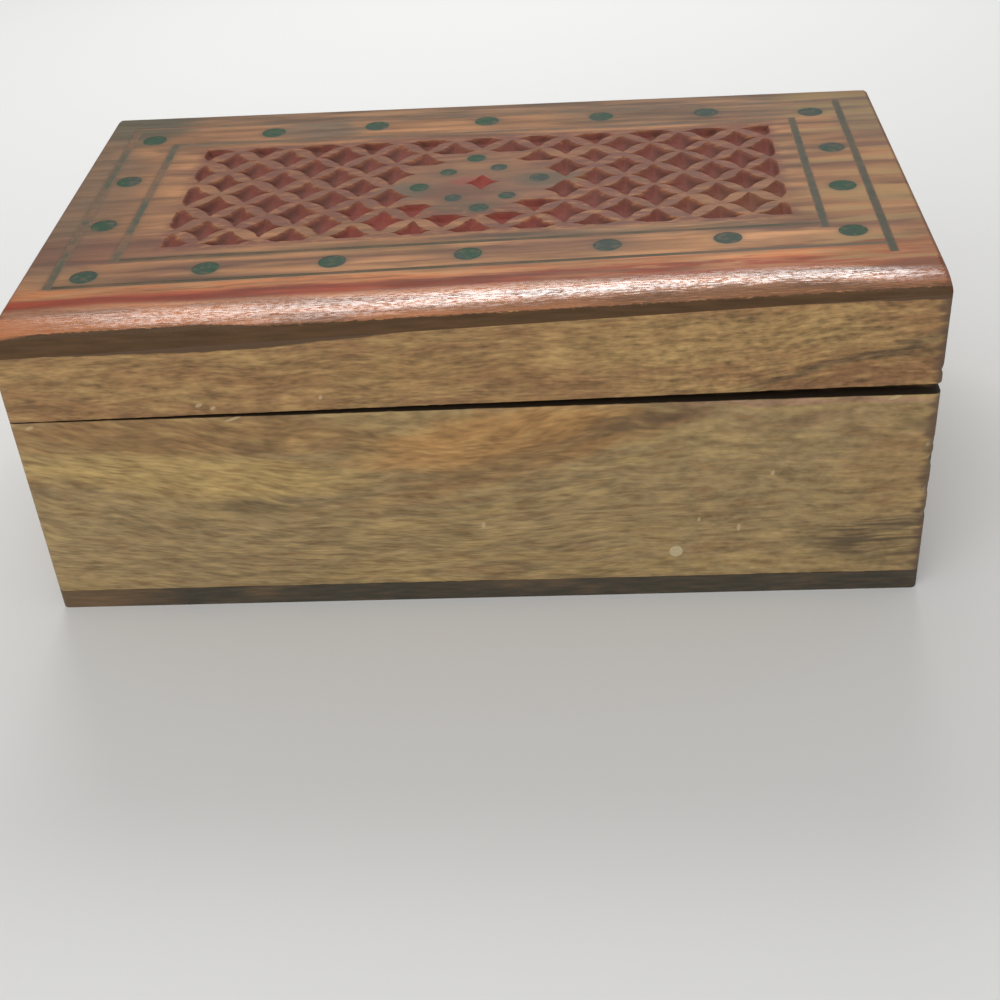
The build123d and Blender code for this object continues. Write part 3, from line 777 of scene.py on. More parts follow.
def note_carving(board, depths, sides, discs):
    """Stores depth and side in the chips and tarnish round the dots, and sets faces' slots."""
    cut_depth, cut_side = np.zeros((2, len(board.data.vertices)), np.float32)
    cut_depth[: len(depths)] = np.array(depths, np.float32) / sizes().chip_depth
    cut_side[: len(sides)] = sides
    spots = np.array([v.co.xy for v in board.data.vertices])
    past_disc = np.min(
        [np.hypot(*(spots - centre).T) - radius for centre, radius in discs], axis=0
    )
    tarnish = np.exp(-np.maximum(past_disc, 0.0) / (0.7 * MM)).astype(np.float32)
    for name, values in (("cut", cut_depth), ("side", cut_side), ("tarnish", tarnish)):
        board.data.attributes.new(name, "FLOAT", "POINT").data.foreach_set("value", values)
    for face in board.data.polygons:
        if any(cut_depth[n] > 0.001 for n in face.vertices):
            face.material_index = 1
        elif face.normal.z < -0.9:
            face.material_index = 2


def carve_board():
    """The lid board with hand-cut chips, its grooves and seats, and a worn front edge.

    Its slots are the lacquered wood, the chips and the bare underside.
    """
    sheet = TopSheet()
    cut_field(sheet)
    discs, grooves = draw_inlay(sheet)
    rim, arris = draw_rim(sheet)
    scatter(sheet, discs, grooves)
    plan, _, triangles, sources, _, _ = delaunay_2d_cdt(
        [Vector(p) for p in sheet.points], sheet.edges, [], 0, 1e-8, True
    )
    depths = [max((sheet.depths[n] for n in source), default=0.0) for source in sources]
    sides = [sum(sheet.sides[n] for n in source) for source in sources]
    surface = hand_worked_top()
    vertices = [(p.x, p.y, surface(p.x, p.y) - d) for p, d in zip(plan, depths)]
    place_of = {m: n for n, source in enumerate(sources) for m in source}
    loop = [place_of[m] for m in rim]
    faces = keep_faces(plan, triangles, arris, discs, grooves)
    sink_inlay(vertices, faces, loop)
    drop_edges(vertices, faces, loop, len(arris))
    board = add_piece("carved_lid_board", vertices, faces, 24)
    note_carving(board, depths, sides, discs)
    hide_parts(BOARD)
    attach(board, "lid")
    return board


def wear_at(x, least, seed):
    """Wear of a long edge at x, which is never less than least."""
    rough = 0.5 * wobble(x / (7 * MM), seed=seed) + 0.5 * wobble(x / (1.9 * MM), seed=seed + 2)
    return least + sizes().edge_wear * max(0.0, rough + 0.1)


def board_section(front, back, bottom, top, wear, rows):
    """Closed section of a front board as (y, z), with both front edges worn round."""
    low_wear, high_wear = wear
    turns = [math.pi / 2 * k / 3 for k in range(4)]
    middle = (back + front) / 2
    face = top - bottom - low_wear - high_wear
    ring = [(back, bottom), (middle, bottom)]
    for a in turns:
        ring.append((front + low_wear * (1 - math.sin(a)), bottom + low_wear * (1 - math.cos(a))))
    for k in range(1, rows):
        ring.append((front, bottom + low_wear + face * k / rows))
    for a in reversed(turns):
        ring.append((front + high_wear * (1 - math.sin(a)), top - high_wear * (1 - math.cos(a))))
    return ring + [(middle, top), (back, top)]


def missing_splinter(nicks, x, y, z):
    """How far wood is missing at a point of the right upright corner."""
    ease = sizes().corner_ease
    corner_x = HALF_LENGTH - ease
    bite = 0.0
    if y < FRONT + 2.5 * MM and x > corner_x - ease:
        for height, reach in nicks:
            near = 1 - abs(z - height) / reach
            if near > 0:
                bite = max(bite, 0.35 * reach * near**0.6)
    return bite * max(0.0, (abs(x) - corner_x + ease) / (2 * ease))


def worn_front_board(name, node, body, top_at, bottom_at, least_wear, nicks, dent=0.0):
    """A front board, straight inside, with worn long edges and a nicked right corner.

    least_wear is that of the lower and of the upper edge. nicks is a list of (height, size)
    of splinters that broke off the corner. dent is how far the board is pushed in at the plug.
    """
    ease = sizes().corner_ease
    corner_x = HALF_LENGTH - ease
    low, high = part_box(node)
    ends = [ease * (1 - math.cos(a)) for a in np.linspace(0, math.pi / 2, 9)]
    stations = [-HALF_LENGTH + e for e in ends] + [HALF_LENGTH - e for e in ends]
    stations += list(np.linspace(-corner_x, corner_x, 180)[1:-1])
    rows = max(12, int((high.z - low.z) / (0.9 * MM)))
    vertices, rings = [], []
    for x in sorted(stations):
        wear = [wear_at(x, least, seed) for least, seed in zip(least_wear, (11.0, 21.0))]
        ring = board_section(front_face(x), high.y, bottom_at(x), top_at(x), wear, rows)
        rings.append([len(vertices) + n for n in range(len(ring))])
        for y, z in ring:
            bite = missing_splinter(nicks, x, y, z)
            away = ((x - PLUG.x) ** 2 + (z - PLUG.z) ** 2) / (2.2 * MM) ** 2
            sink = dent * math.exp(-away)
            vertices.append((x - math.copysign(bite, x), y + bite + sink, z))
    faces = []
    for first, second in zip(rings, rings[1:]):
        for k in range(len(first)):
            j = (k + 1) % len(first)
            faces.append((first[k], first[j], second[j], second[k]))
    faces += [tuple(rings[0]), tuple(reversed(rings[-1]))]
    piece = add_piece(name, vertices, faces, 35)
    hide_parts(node)
    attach(piece, body)
    return piece


def front_wall():
    """The front wall of the base."""
    return worn_front_board(
        "base_front_board", WALL, "base", lambda x: WALL_HIGH.z, lambda x: WALL_LOW.z,
        least_wear=(0.1 * MM, 0.25 * MM),
        nicks=[(39.5 * MM, 0.9 * MM), (35 * MM, 1.5 * MM), (27.5 * MM, 1.1 * MM), (21 * MM, 0.8 * MM)],
        dent=0.05 * MM,
    )


def front_rail():
    """The front rail of the lid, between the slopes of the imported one."""
    tree = tree_of(RAIL)
    inner_y = RAIL_HIGH.y - 0.5 * MM
    reach = HALF_LENGTH - 2 * MM
    up = Vector((0, 0, 1))
    tops = [height_on(tree, x, inner_y) for x in (-reach, reach)]
    bottoms = [tree.ray_cast(Vector((x, inner_y, 0)), up)[0].z for x in (-reach, reach)]
    return worn_front_board(
        "lid_front_board", RAIL, "lid", slope(tops, reach), slope(bottoms, reach),
        least_wear=(0.2 * MM, 0.03 * MM),
        nicks=[(57 * MM, 0.9 * MM)],
    )


class LidWood(Finish):
    """Wood of the lid with its grain: stripes, fine streaks, pores and patches.

    ahead is the distance from the front of the box.
    """

    def __init__(self, name, ground):
        super().__init__(name, ground)
        x, y, z = self.x, self.y, self.z
        run = y + self.noise(x / 70, y / 22, z / 30, 1.0) * 7
        self.stripes = self.noise(x / 42, run / 3.9, z / 9, 1.0)
        self.streaks = self.noise(x / 9, run / 0.9, z / 1.2)
        self.pores = self.noise(x / 2.6, run / 0.3, z / 0.5, 2.0, 0.55)
        self.patches = self.noise(x / 22, y / 12, z / 20)
        self.ahead = y - FRONT / MM


def ridge_tone(f):
    """Blotchy stain of the wood that was left between the chips."""
    c = colours()
    mottle = f.noise(f.x / 4.5, f.y / 2.2, f.z / 8, 2.0, 0.6)
    patch = f.noise(f.x / 14, f.y / 9, f.z / 20, 1.0)
    base = f.mix(mottle.rise(0.46, 0.60) * 0.7, c.ridge, c.chip_dark)
    base = f.mix(patch.rise(0.48, 0.64) * 0.3, base, c.lid_brown)
    return f.mix(mottle.rise(0.47, 0.34) * (0.35 + 0.3 * f.y.rise(4, -18)), base, c.lid_tan)


def lay_stripes(f, leftward):
    """Stripes along the board, with less contrast at its left end."""
    c = colours()
    tone = f.stripes.rise(0.34, 0.64)
    f.lay(tone + (0.4 - tone) * leftward * 0.6, c.lid_tan)
    endward = f.x.rise(60, 88) + leftward * 0.3
    f.lay(f.stripes.rise(0.47, 0.34) * (0.3 + 0.15 * endward), c.lid_mauve)
    f.lay(f.patches.rise(0.52, 0.70) * 0.35, c.lid_smoke)


def lay_tints(f, wander):
    """Soft tints laid on by hand and by wear, whose places wander with the grain."""
    c = colours()
    f.daub(*wander, (
        (c.lid_smoke, (0, 60), (130, 9), 0.5),
        (c.lid_brown, (-72, 48), (12, 5.5), 0.35),
        (c.lid_smoke, (-46, 48), (14, 7), 0.9),
        (c.lid_tan, (-13, 48), (12, 5), 0.65),
        (c.lid_smoke, (40, 49), (24, 9), 0.5),
        (c.lid_smoke, (78, 50), (20, 9), 0.6),
        (c.lid_brown, (-70, 46), (26, 9), 0.4),
        (c.lid_smoke, (98, 42), (12, 22), 0.7),
        (c.lid_tan, (-90, 37), (7, 4), 0.8),
        (c.metal_grey, (-97, 57), (18, 14), 0.85),
        (c.lid_smoke, (-97, 8), (13, 50), 0.65),
        (c.lid_brown, (-86, 10), (9, 30), 0.35),
        (c.lid_mauve, (-85, -22), (34, 9), 0.7),
        (c.lid_tan, (88, -14), (12, 14), 0.5),
        (c.lid_tan, (62, -35), (34, 5), 0.95),
        (c.lid_brown, (20, -34), (30, 4), 0.6),
        (c.stain_red, (92, -42), (16, 3), 0.5),
        (c.lid_mauve, (18, -31), (16, 4), 0.5),
        (c.metal_grey, (30, -25.6), (44, 2.4), 0.45),
    ))
    gains = (
        ((66, -35), (38, 6), 0.25),
        ((52, -43), (62, 3.5), 0.18),
        ((22, 49), (26, 9), -0.22),
        ((4, -34), (36, 6), 0.14),
    )
    for place, reach, gain in gains:
        f.tone(1.0 + f.blot(*wander, place, reach) * gain)


def lay_field(f, wander):
    """Stained ridges, thin near the cleared middle; returns where the carved field is."""
    c = colours()
    s = sizes()
    middle = (s.field_x / MM, s.field_y / MM)
    u = abs(f.x - middle[0]) - (CHIP_COLUMNS + 0.5) * s.chip_step_x / MM
    v = abs(f.y - middle[1]) - (CHIP_ROWS + 0.6) * s.chip_step_y / MM
    field = (u.higher(v) + (f.streaks - 0.5) * 4).rise(0.6, -3.0)
    cleared = f.blot(f.x, f.y, middle, (23, 17))
    f.lay(cleared * 0.75, c.medallion)
    worn = f.blot(*wander, (66, -12), (16, 12))
    rubbed = (((-30, -17), (40, 5), 1.0), ((-70, 6), (16, 9), 0.7), ((5, 24), (26, 5), 0.8))
    for place, reach, share in rubbed:
        worn = worn.higher(f.blot(*wander, place, reach) * share)
    f.lay(field * (1 - cleared) * (0.92 - 0.6 * worn), ridge_tone(f))
    f.daub(wander[0], f.y + (f.patches - 0.5) * 8, (
        (c.lid_smoke, (-17, 3), (8, 6), 0.85),
        (c.lid_smoke, (17, 7), (8, 6), 0.8),
        (c.lid_mauve, (-3, 2), (11, 7), 0.55),
        (c.metal_grey, (-1, -7), (10, 4), 0.4),
        (c.chip_red, (-0.5, 8.6), (5, 3), 0.6),
        (c.lid_tan, (4, 17), (12, 3), 0.35),
    ))
    return field


def lay_front_stains(f, sway, rounded):
    """Bare orange strip, rubbed front round and red stain."""
    c = colours()
    x = f.x
    bands = f.noise(x / 16, (f.y + sway) / 1.1, f.z / 3, 2.0, 0.55)
    orange = abs(f.ahead - 20.0 + sway * 0.5).rise(3.6, 1.6)
    warm = f.mix(bands.rise(0.40, 0.60), c.lid_orange, c.lid_tan)
    f.lay(orange * 0.9, f.shade(warm, 1.06 + 0.12 * x.rise(0, 50)))
    f.lay(orange * bands.rise(0.44, 0.32) * 0.6, c.lid_brown)
    f.lay(rounded * 0.75, c.lid_orange)
    f.lay(rounded * f.stripes.rise(0.5, 0.4) * 0.45, c.lid_brown)
    half = 1.7 + (x + 100) * 0.008
    red = (abs(f.ahead - 15.6 + sway * 0.6) - half).rise(1.4, -1.0)
    bare = x.rise(-66, 60) * (0.2 + 0.75 * bands.rise(0.42, 0.58))
    f.lay(red * (0.97 - 0.75 * bare), c.stain_red)


def lay_ribbons(f, sway, leftward, field, rounded):
    """Light and dark ribbons of grain, broad and pale at the right end, and a scratch."""
    c = colours()
    x, z, run = f.x, f.z, f.y + sway
    ribbons = f.noise(x / 34, run / 2.7, z / 6, 1.0).rise(0.36, 0.64) - 0.5
    margin = x.rise(72, 86) * (1 - rounded)
    contrast = (0.42 * (1 - field) + 0.1 * (1 - rounded)) * (1 - 0.5 * leftward - 0.65 * margin)
    fine = f.streaks * (0.36 - 0.24 * margin) + f.pores * 0.32
    f.tone(0.66 + fine + ribbons * contrast + margin * 0.11)
    broad = f.noise(x / 60, run / 6.5, z / 9, 1.0)
    f.lay(margin * broad.rise(0.45, 0.58) * 0.5, c.wall_yellow)
    f.lay(margin * broad.rise(0.46, 0.36) * 0.45, c.lid_brown)
    f.daub(x, f.ahead, (
        (c.ridge, (98, 9), (12, 6), 0.6),
        (c.edge_dark, (-3, 7), (4.5, 0.35), 0.7, 0.85),
    ))


def lay_edge(f, hairs, fore):
    """Dark stain of the edge, which climbs over the arris on the left, and painted shade before the
    arris.

    Returns where the edge and its painted shade are.
    """
    c = colours()
    x, y, z, ahead = f.x, f.y, f.z, f.ahead
    rag = f.noise(x / 1.5, y / 0.5, z / 0.5, 2.0, 0.6)
    climb = x.rise(-102, -90) * x.rise(-38, -56) * 1.5
    edge = (ahead + (rag - 0.5) * 1.3 - climb).rise(2.2, 1.8)
    dim = 2.9 + x.rise(-40, 60) * 4.6 - fore * 3.6
    shadow = (dim - ahead + (hairs - 0.5) * 13 + climb).rise(-0.6, 1.8)
    # Painted shade between the round's highlight and the arris
    f.lay(shadow * (0.3 + 0.38 * x.rise(10, 50)), c.edge_dark)
    # Pale streaks of grain in that shade, painted glints at the highlight's fringe
    f.lay(hairs.rise(0.54, 0.66) * shadow * x.rise(-20, 40) * 0.8, c.lid_tan)
    f.lay(edge, f.shade(c.edge_dark, 0.55 + f.noise(x / 10, y / 1.2, z / 0.9) * 0.9))
    flecks = rag.rise(0.54, 0.60) * abs(ahead - climb - 2.1).rise(0.6, 0.1)
    flecks = flecks * f.noise(x / 7, 0.0, 0.0, 1.0).rise(0.52, 0.62)
    f.lay(flecks * 0.8, c.lid_tan)
    f.lay((HALF_LENGTH / MM - abs(x)).rise(1.2, 0.2) * 0.5, c.lid_mauve)
    return edge, shadow


def lay_tarnish(f):
    """Halo of tarnish beside the lines, strongest at the left, and round the dots."""
    c = colours()
    veil = 0.2 + f.x.rise(40, -60) * 0.8
    plane = (f.x, f.y)
    for node in LINES:
        low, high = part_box(node)
        middle, reach = (low + high) / 2 / MM, (high - low) / 2 / MM
        along, across = (0, 1) if reach.x > reach.y else (1, 0)
        within = abs(plane[along] - middle[along]).rise(reach[along] + 1, reach[along])
        halo = abs(plane[across] - middle[across]).rise(2.4, 0.6) * within
        f.lay(halo * (0.2 + 0.3 * f.patches) * veil, c.metal_grey)
    f.lay(f.attribute("tarnish") * (0.25 + 0.5 * f.patches), c.metal_grey)


def lacquered_lid():
    """Striped orange-brown wood, stained by hand, under a worn and glossy lacquer."""
    f = LidWood("lacquered lid wood", colours().lid_brown)
    x, y, z = f.x, f.y, f.z
    leftward = x.rise(-62, -88)
    fore = x.rise(72, 96)
    rounded = f.ahead.rise(14.0, 12.0)
    hairs = f.noise(x / 6, y / 0.42, z / 0.5, 2.0, 0.6)
    speck = f.noise(x / 1.5, y / 0.45, z / 0.6, 2.0, 0.6)
    sway = (f.patches - 0.5) * 3 + (f.streaks - 0.5) * 2.5
    wander = (x + (f.patches - 0.5) * 16, y + (f.streaks - 0.5) * 9)
    lay_stripes(f, leftward)
    lay_tints(f, wander)
    field = lay_field(f, wander)
    lay_front_stains(f, sway, rounded)
    lay_ribbons(f, sway, leftward, field, rounded)
    edge, shadow = lay_edge(f, hairs, fore)
    lay_tarnish(f)

    # The coat shines in broken glints along the front round
    lively = 0.28 + x.rise(-100, -50) * 0.19 + x.rise(-50, 20) * 0.44
    broken = 0.04 + 0.8 * speck.rise(0.42, 0.56) * (0.5 + f.streaks) + 0.6 * hairs.rise(0.45, 0.56)
    polish = (f.ahead + fore * 3.2).rise(14.5, 11.5) * (1 - shadow * 0.95) * (1 - edge)
    polish = polish * broken * lively * (1 - 0.55 * x.rise(84, 101))
    return f.close(
        (f.pores * 0.05 + f.streaks * 0.06, 0.7), ((f.pores * 0.12 + speck * 0.1) * rounded, 0.9),
        roughness=0.36 + 0.2 * f.patches + 0.25 * edge, specular_ior_level=0.1,
        coat_weight=polish, coat_roughness=0.21, coat_ior=1.9,
    )


def chip_finish():
    """Matt red-brown stain inside the chips, with painted light and shade on their facets and pale worn
    rims that carry a painted highlight in front.
    """
    c = colours()
    f = Finish("stained chip wood")
    f.base = ridge_tone(f)
    x, y, z = f.x, f.y, f.z
    cut = f.attribute("cut")
    outward = f.attribute("side").rise(-0.3, 0.8)
    fibre = f.noise(x / 4, y / 0.6, z / 0.6, 2.0, 0.6)
    patches = f.noise(x / 15, y / 11, z / 20)
    body = cut + (f.noise(x / 5, y / 4, z / 20, 1.0) - 0.5) * 0.4
    f.lay(body.rise(-0.04, 0.42) * 0.96, c.chip_dark)
    # Painted light: facets that face the field's middle are laid redder
    f.lay((1 - outward) * cut.rise(0.1, 0.5) * 0.22, c.chip_red)
    # Painted shade: facets that face away from the field's middle are darkened
    f.tone(1.12 - outward * cut.rise(0.05, 0.6) * 0.34)
    wander = x + (patches - 0.5) * 12
    warm = f.blot(wander, y, (-6, -12), (30, 14)) * cut.rise(0.02, 0.25)
    f.lay(warm * (0.25 + 0.7 * patches), c.chip_red)
    f.daub(wander, y, (
        (c.chip_red, (0.5, 6.5), (7.5, 6.5), 1.0),
        (c.lid_brown, (66, -12), (14, 10), 0.3),
    ))
    # Pale worn rims, with a painted highlight on the front rows
    rim = cut.rise(0.14, 0.0)
    f.lay(rim * fibre.rise(0.49, 0.62) * y.rise(8, -16) * 0.4, c.lid_tan)
    f.tone(0.72 + fibre * 0.56)
    return f.close((fibre * 0.09, 0.7), roughness=0.55 + 0.2 * fibre, specular_ior_level=0.06)


def bare_underside():
    """Plain sawn wood under the lid."""
    c = colours()
    f = LidWood("bare lid wood", c.wall_brown)
    f.lay(f.stripes.rise(0.34, 0.66) * 0.8, c.wall_orange)
    f.lay(f.patches.rise(0.45, 0.70) * 0.6, c.wall_olive)
    f.lay(f.streaks.rise(0.48, 0.30) * 0.35, c.wall_dark)
    f.tone(0.62 + f.streaks * 0.35 + f.pores * 0.4)
    return f.close(
        (f.pores * 0.06 + f.streaks * 0.05, 0.7),
        roughness=0.6 + 0.2 * f.patches, specular_ior_level=0.25,
    )


def level_through(f, places):
    """Height along x that runs through a list of (x, height)."""
    level = places[0][1]
    for (x0, z0), (x1, z1) in zip(places, places[1:]):
        level = f.node(
            "ShaderNodeMapRange", {},
            {"Value": f.x, "From Min": x0, "From Max": x1, "To Min": 0.0, "To Max": z1 - z0},
        ) + level
    return level


class WallWood(Finish):
    """Olive-brown wood with short interlocked grain.

    grain is a list of (x, height) that the grain follows. figures are soft ovals of
    (shade, place, reach, share, tilt) on the board, with places as (x, z). A board that
    runs from front to back has along_y set and its places are (y, z).
    """

    def __init__(self, name, ground, grain, figures, along_y=False):
        super().__init__(name, ground)
        level = level_through(self, grain)
        if along_y:
            self.x, self.y = self.y, self.x
        c = colours()
        x, y, z = self.x, self.y, self.z
        lean = abs(z - 34).rise(34, 6) * 0.6 + 0.4
        self.run = z + self.noise(x / 30, y / 30, z / 14, 1.0) * 5 - level * lean
        band = self.noise(x / 34, y / 9, self.run / 7, 2.0, 0.55)
        self.curl = self.noise(x / 15, y / 8, self.run / 3.4, 1.0)
        self.wave = self.noise(x / 8, y / 4, self.run / 1.6, 1.0)
        self.dash = self.noise(x / 4.2, y / 1.6, self.run / 0.75, 1.0)
        self.hair = self.noise(x / 2.2, y / 0.6, self.run / 0.34, 1.0)
        self.lay(band.rise(0.40, 0.62) * 0.4, c.wall_yellow)
        self.lay(band.rise(0.46, 0.32) * 0.45, c.wall_brown)
        wander_x = x + (self.curl - 0.5) * 16
        wander_z = z + (band - 0.5) * 5 + (self.wave - 0.5) * 2
        self.daub(wander_x, wander_z, figures)
        self.lay(self.wave.rise(0.50, 0.72) * 0.3, c.wall_yellow)
        self.lay(self.wave.rise(0.48, 0.28) * 0.4, c.wall_brown)

    def light(self, calm=0.0, coarse=0.0, rough=0.5):
        """Light and dark of the grain, evened by calm.

        coarse strengthens its hairs and rough the grit.
        """
        x, y = self.x, self.y
        blotch = self.noise(x / 5, y / 5, self.run / 2.6, 1.0)
        grit = self.noise(x / 2.0, y / 1.2, self.z / 1.1)
        marks = self.dash.rise(0.28, 0.72) * 0.34 + self.wave.rise(0.28, 0.72) * 0.22
        hairs = self.hair * (0.56 + 0.25 * coarse) * (1 - 0.4 * calm)
        light = marks * (1 - 0.35 * calm) + self.curl * 0.6 + hairs
        light = light + (blotch - 0.12) * calm * 0.6
        self.tone(0.14 - 0.12 * coarse + light + (grit - 0.5) * rough * 0.85)

    def fleck(self, *flecks):
        """Lays pale flecks of (place, reach)."""
        shade = colours().wall_fleck
        self.daub(self.x, self.z, [(shade, place, reach, 0.7, 0.3) for place, reach in flecks])

    def thread(self, *threads):
        """Lays dark threads of grain over zones of (place, reach, share)."""
        thread = self.noise(self.x / 13, self.y / 3, self.run, 1.0).rise(0.42, 0.60)
        for place, reach, share in threads:
            zone = self.blot(self.x, self.z, place, reach)
            self.lay(zone * thread * share, colours().wall_dark)

    def stain_corner(self):
        """Stains the upright edge at the right end."""
        upright = (HALF_LENGTH / MM - self.x + (self.wave - 0.5) * 5).rise(3.0, 0.6)
        self.lay(upright * 0.75, colours().corner_stain)

    def close(self):
        """Fills the shader as for every wall and returns the finish."""
        return super().close(
            (self.dash * 0.06 + self.hair * 0.04, 0.6),
            roughness=0.45 + 0.25 * self.curl, specular_ior_level=0.3,
        )


def front_wall_finish():
    """Figured wood of the front wall, calmer but grittier at the right, with painted shade at the seam.
    """
    c = colours()
    grain = (
        (-100, 0), (-80, -4), (-60, -8), (-40, -11.2), (-20, -13.2), (0, -13.6), (15, -12.8),
        (35, -10.4), (60, -10.4),
    )
    f = WallWood("front wall wood", c.wall_olive, grain, (
        (c.wall_brown, (-62, 47), (50, 6), 0.75, -0.03),
        (c.wall_yellow, (-66, 37), (46, 6), 0.9, -0.08),
        (c.wall_olive, (-66, 17), (46, 12), 0.8),
        (c.wall_orange, (8, 44), (36, 8), 0.85, 0.12),
        (c.wall_brown, (12, 38), (40, 5), 0.55, 0.3),
        (c.wall_dark, (37, 48), (16, 3), 0.5, 0.3),
        (c.wall_dark, (12, 39), (20, 2.2), 0.35, 0.3),
        (c.wall_dark, (-48, 44), (6, 2.5), 0.4),
        (c.wall_dark, (-48, 28), (16, 1.8), 0.3, -0.1),
        (c.wall_olive, (62, 28), (40, 16), 0.6),
        (c.wall_dark, (95, 13), (18, 8), 0.35),
        (c.wall_brown, (93, 34), (11, 14), 0.35),
        # Pale upper rim: rubbed wear with a painted highlight on the arris
        (c.wall_pink, (78, 51.2), (34, 0.8), 0.7),
        (c.lid_mauve, (46, 48.5), (9, 2.2), 0.35, 0.1),
        (c.lid_mauve, (75, 46), (12, 2), 0.3, 0.15),
    ))
    f.light(calm=f.x.rise(20, 60), rough=f.x.rise(10, 60) * 0.8)
    f.fleck(
        ((67, 33), (0.5, 0.7)),
        ((60, 18.5), (0.5, 1.1)),
        ((51, 21), (0.4, 0.6)),
        ((-97, 50.6), (1.1, 0.5)),
        ((2, 21), (0.5, 1.0)),
        ((-51, 51.3), (2.2, 0.35)),
        ((100.4, 39.5), (0.9, 0.9)),
        ((100.8, 27.5), (0.7, 1.0)),
        ((100.8, 21), (0.6, 0.8)),
        ((92, 51.3), (1.6, 0.4)),
    )
    f.thread(
        ((92, 15), (18, 6), 0.75),
        ((94, 12), (12, 4), 0.3),
        ((93, 44), (13, 2.5), 0.4),
        ((-46, 28), (20, 3), 0.3),
        ((38, 47), (10, 3), 0.5),
    )
    f.stain_corner()
    # Painted shade on the wall's top along its front, so the gap under the lid reads dark
    high = (f.z - WALL_HIGH.z / MM).rise(-0.1, 0.0)
    f.lay(high * (f.y - FRONT / MM + (f.wave - 0.5) * 3).rise(6.0, 2.6), c.seam_shade)
    return f.close()


def front_rail_finish():
    """Coarse wood of the lid's front rail, whose upper edge is stained like the lid's."""
    c = colours()
    grain = ((-100, 0), (40, 1), (60, 3), (100, 11))
    f = WallWood("front rail wood", c.rail_tan, grain, (
        (c.wall_brown, (-20, 62), (60, 4), 0.35),
        (c.wall_yellow, (45, 66), (40, 6), 0.35, 0.05),
        (c.wall_brown, (86, 58), (26, 6), 0.9, 0.2),
        (c.lid_mauve, (84, 56), (26, 3.5), 0.35, 0.15),
        (c.wall_dark, (80, 60), (24, 1.3), 0.65, 0.27),
        (c.wall_dark, (98, 64), (9, 2.5), 0.45, 0.2),
    ))
    f.light(coarse=0.6, rough=f.x.rise(10, 60) * 0.8 + 0.6)
    f.fleck(
        ((-58, 55), (0.9, 0.5)),
        ((-55, 54.2), (0.7, 0.5)),
        ((-31, 56), (0.5, 0.6)),
    )
    f.stain_corner()
    stained_above = level_through(
        f, ((-90, 68.2), (-60, 67.9), (-40, 68.6), (-20, 70.2), (0, 72.2), (20, 74))
    )
    f.lay((f.z - stained_above + (f.dash - 0.5) * 0.9).rise(-0.2, 0.15), c.edge_dark)
    return f.close()


def side_finish():
    """Wood of the side walls and rails, whose grain lies a little higher at the right."""
    c = colours()
    f = WallWood("side wood", c.wall_olive, ((-60, 0), (60, 1)), (
        (c.wall_brown, (-15, 40), (44, 7), 0.65, 0.1),
        (c.wall_yellow, (25, 26), (34, 7), 0.6, -0.06),
        (c.wall_dark, (22, 59), (30, 2.2), 0.4, 0.08),
        (c.wall_orange, (-40, 62), (30, 5), 0.5),
        (c.wall_brown, (-42, 14), (24, 5), 0.5),
        (c.wall_dark, (40, 12), (26, 2.5), 0.35, -0.1),
    ), along_y=True)
    f.light()
    return f.close()


def back_finish():
    """Wood of the back wall and rail."""
    c = colours()
    f = WallWood("back wood", c.wall_olive, ((-100, 0), (-40, 6), (30, 2), (100, 7)), (
        (c.wall_brown, (-50, 38), (56, 7), 0.65, 0.05),
        (c.wall_yellow, (36, 28), (60, 8), 0.65, -0.05),
        (c.wall_orange, (-8, 19), (36, 6), 0.55, 0.08),
        (c.wall_dark, (62, 11), (40, 2.2), 0.35, 0.02),
        (c.wall_brown, (40, 62), (60, 4), 0.5),
        (c.wall_dark, (-70, 24), (22, 2), 0.3, -0.1),
    ))
    f.light(calm=f.x.rise(20, 60), rough=f.x.rise(10, 60) * 0.8)
    f.stain_corner()
    return f.close()


def dark_board_finish():
    """Bottom board with a dark stained edge and plain wood inside."""
    c = colours()
    f = Finish("dark bottom wood", c.bottom_dark)
    x, y, z = f.x, f.y, f.z
    streak = f.noise(x / 8, y / 8, z / 0.8, 3.0, 0.6)
    patch = f.noise(x / 22, y / 22, z / 8)
    f.lay(streak.rise(0.42, 0.7) * 0.5, c.edge_dark)
    left = (x + (patch - 0.5) * 20).rise(-70, -92)
    f.lay(left * 0.38 + patch.rise(0.55, 0.75) * 0.2, c.wall_brown)
    f.tone(0.25 + streak * 0.9 + patch * 0.6)
    grain = f.noise(x / 24, (y + patch * 6) / 2.4, z / 8, 2.0, 0.6)
    plain = f.mix(grain.rise(0.36, 0.62), c.wall_brown, c.wall_olive)
    plain = f.mix(grain.rise(0.40, 0.28) * 0.5, plain, c.wall_dark)
    inward = (HALF_LENGTH / MM - abs(x)).lower(BACK / MM - abs(y)).rise(1.5, 5.0)
    f.lay(inward, f.shade(plain, 0.6 + streak * 0.8))
    return f.close((streak * 0.06, 0.6), roughness=0.55 + 0.2 * streak)


def plug_finish():
    """Pale filler of the pin hole."""
    c = colours()
    f = Finish("pale plug wood", c.plug_pale)
    grain = f.noise(f.x / 0.5, f.y / 0.5, f.z / 0.25)
    f.lay(grain.rise(0.4, 0.65), c.plug_tan)
    return f.close((grain * 0.04, 0.5), roughness=0.6)


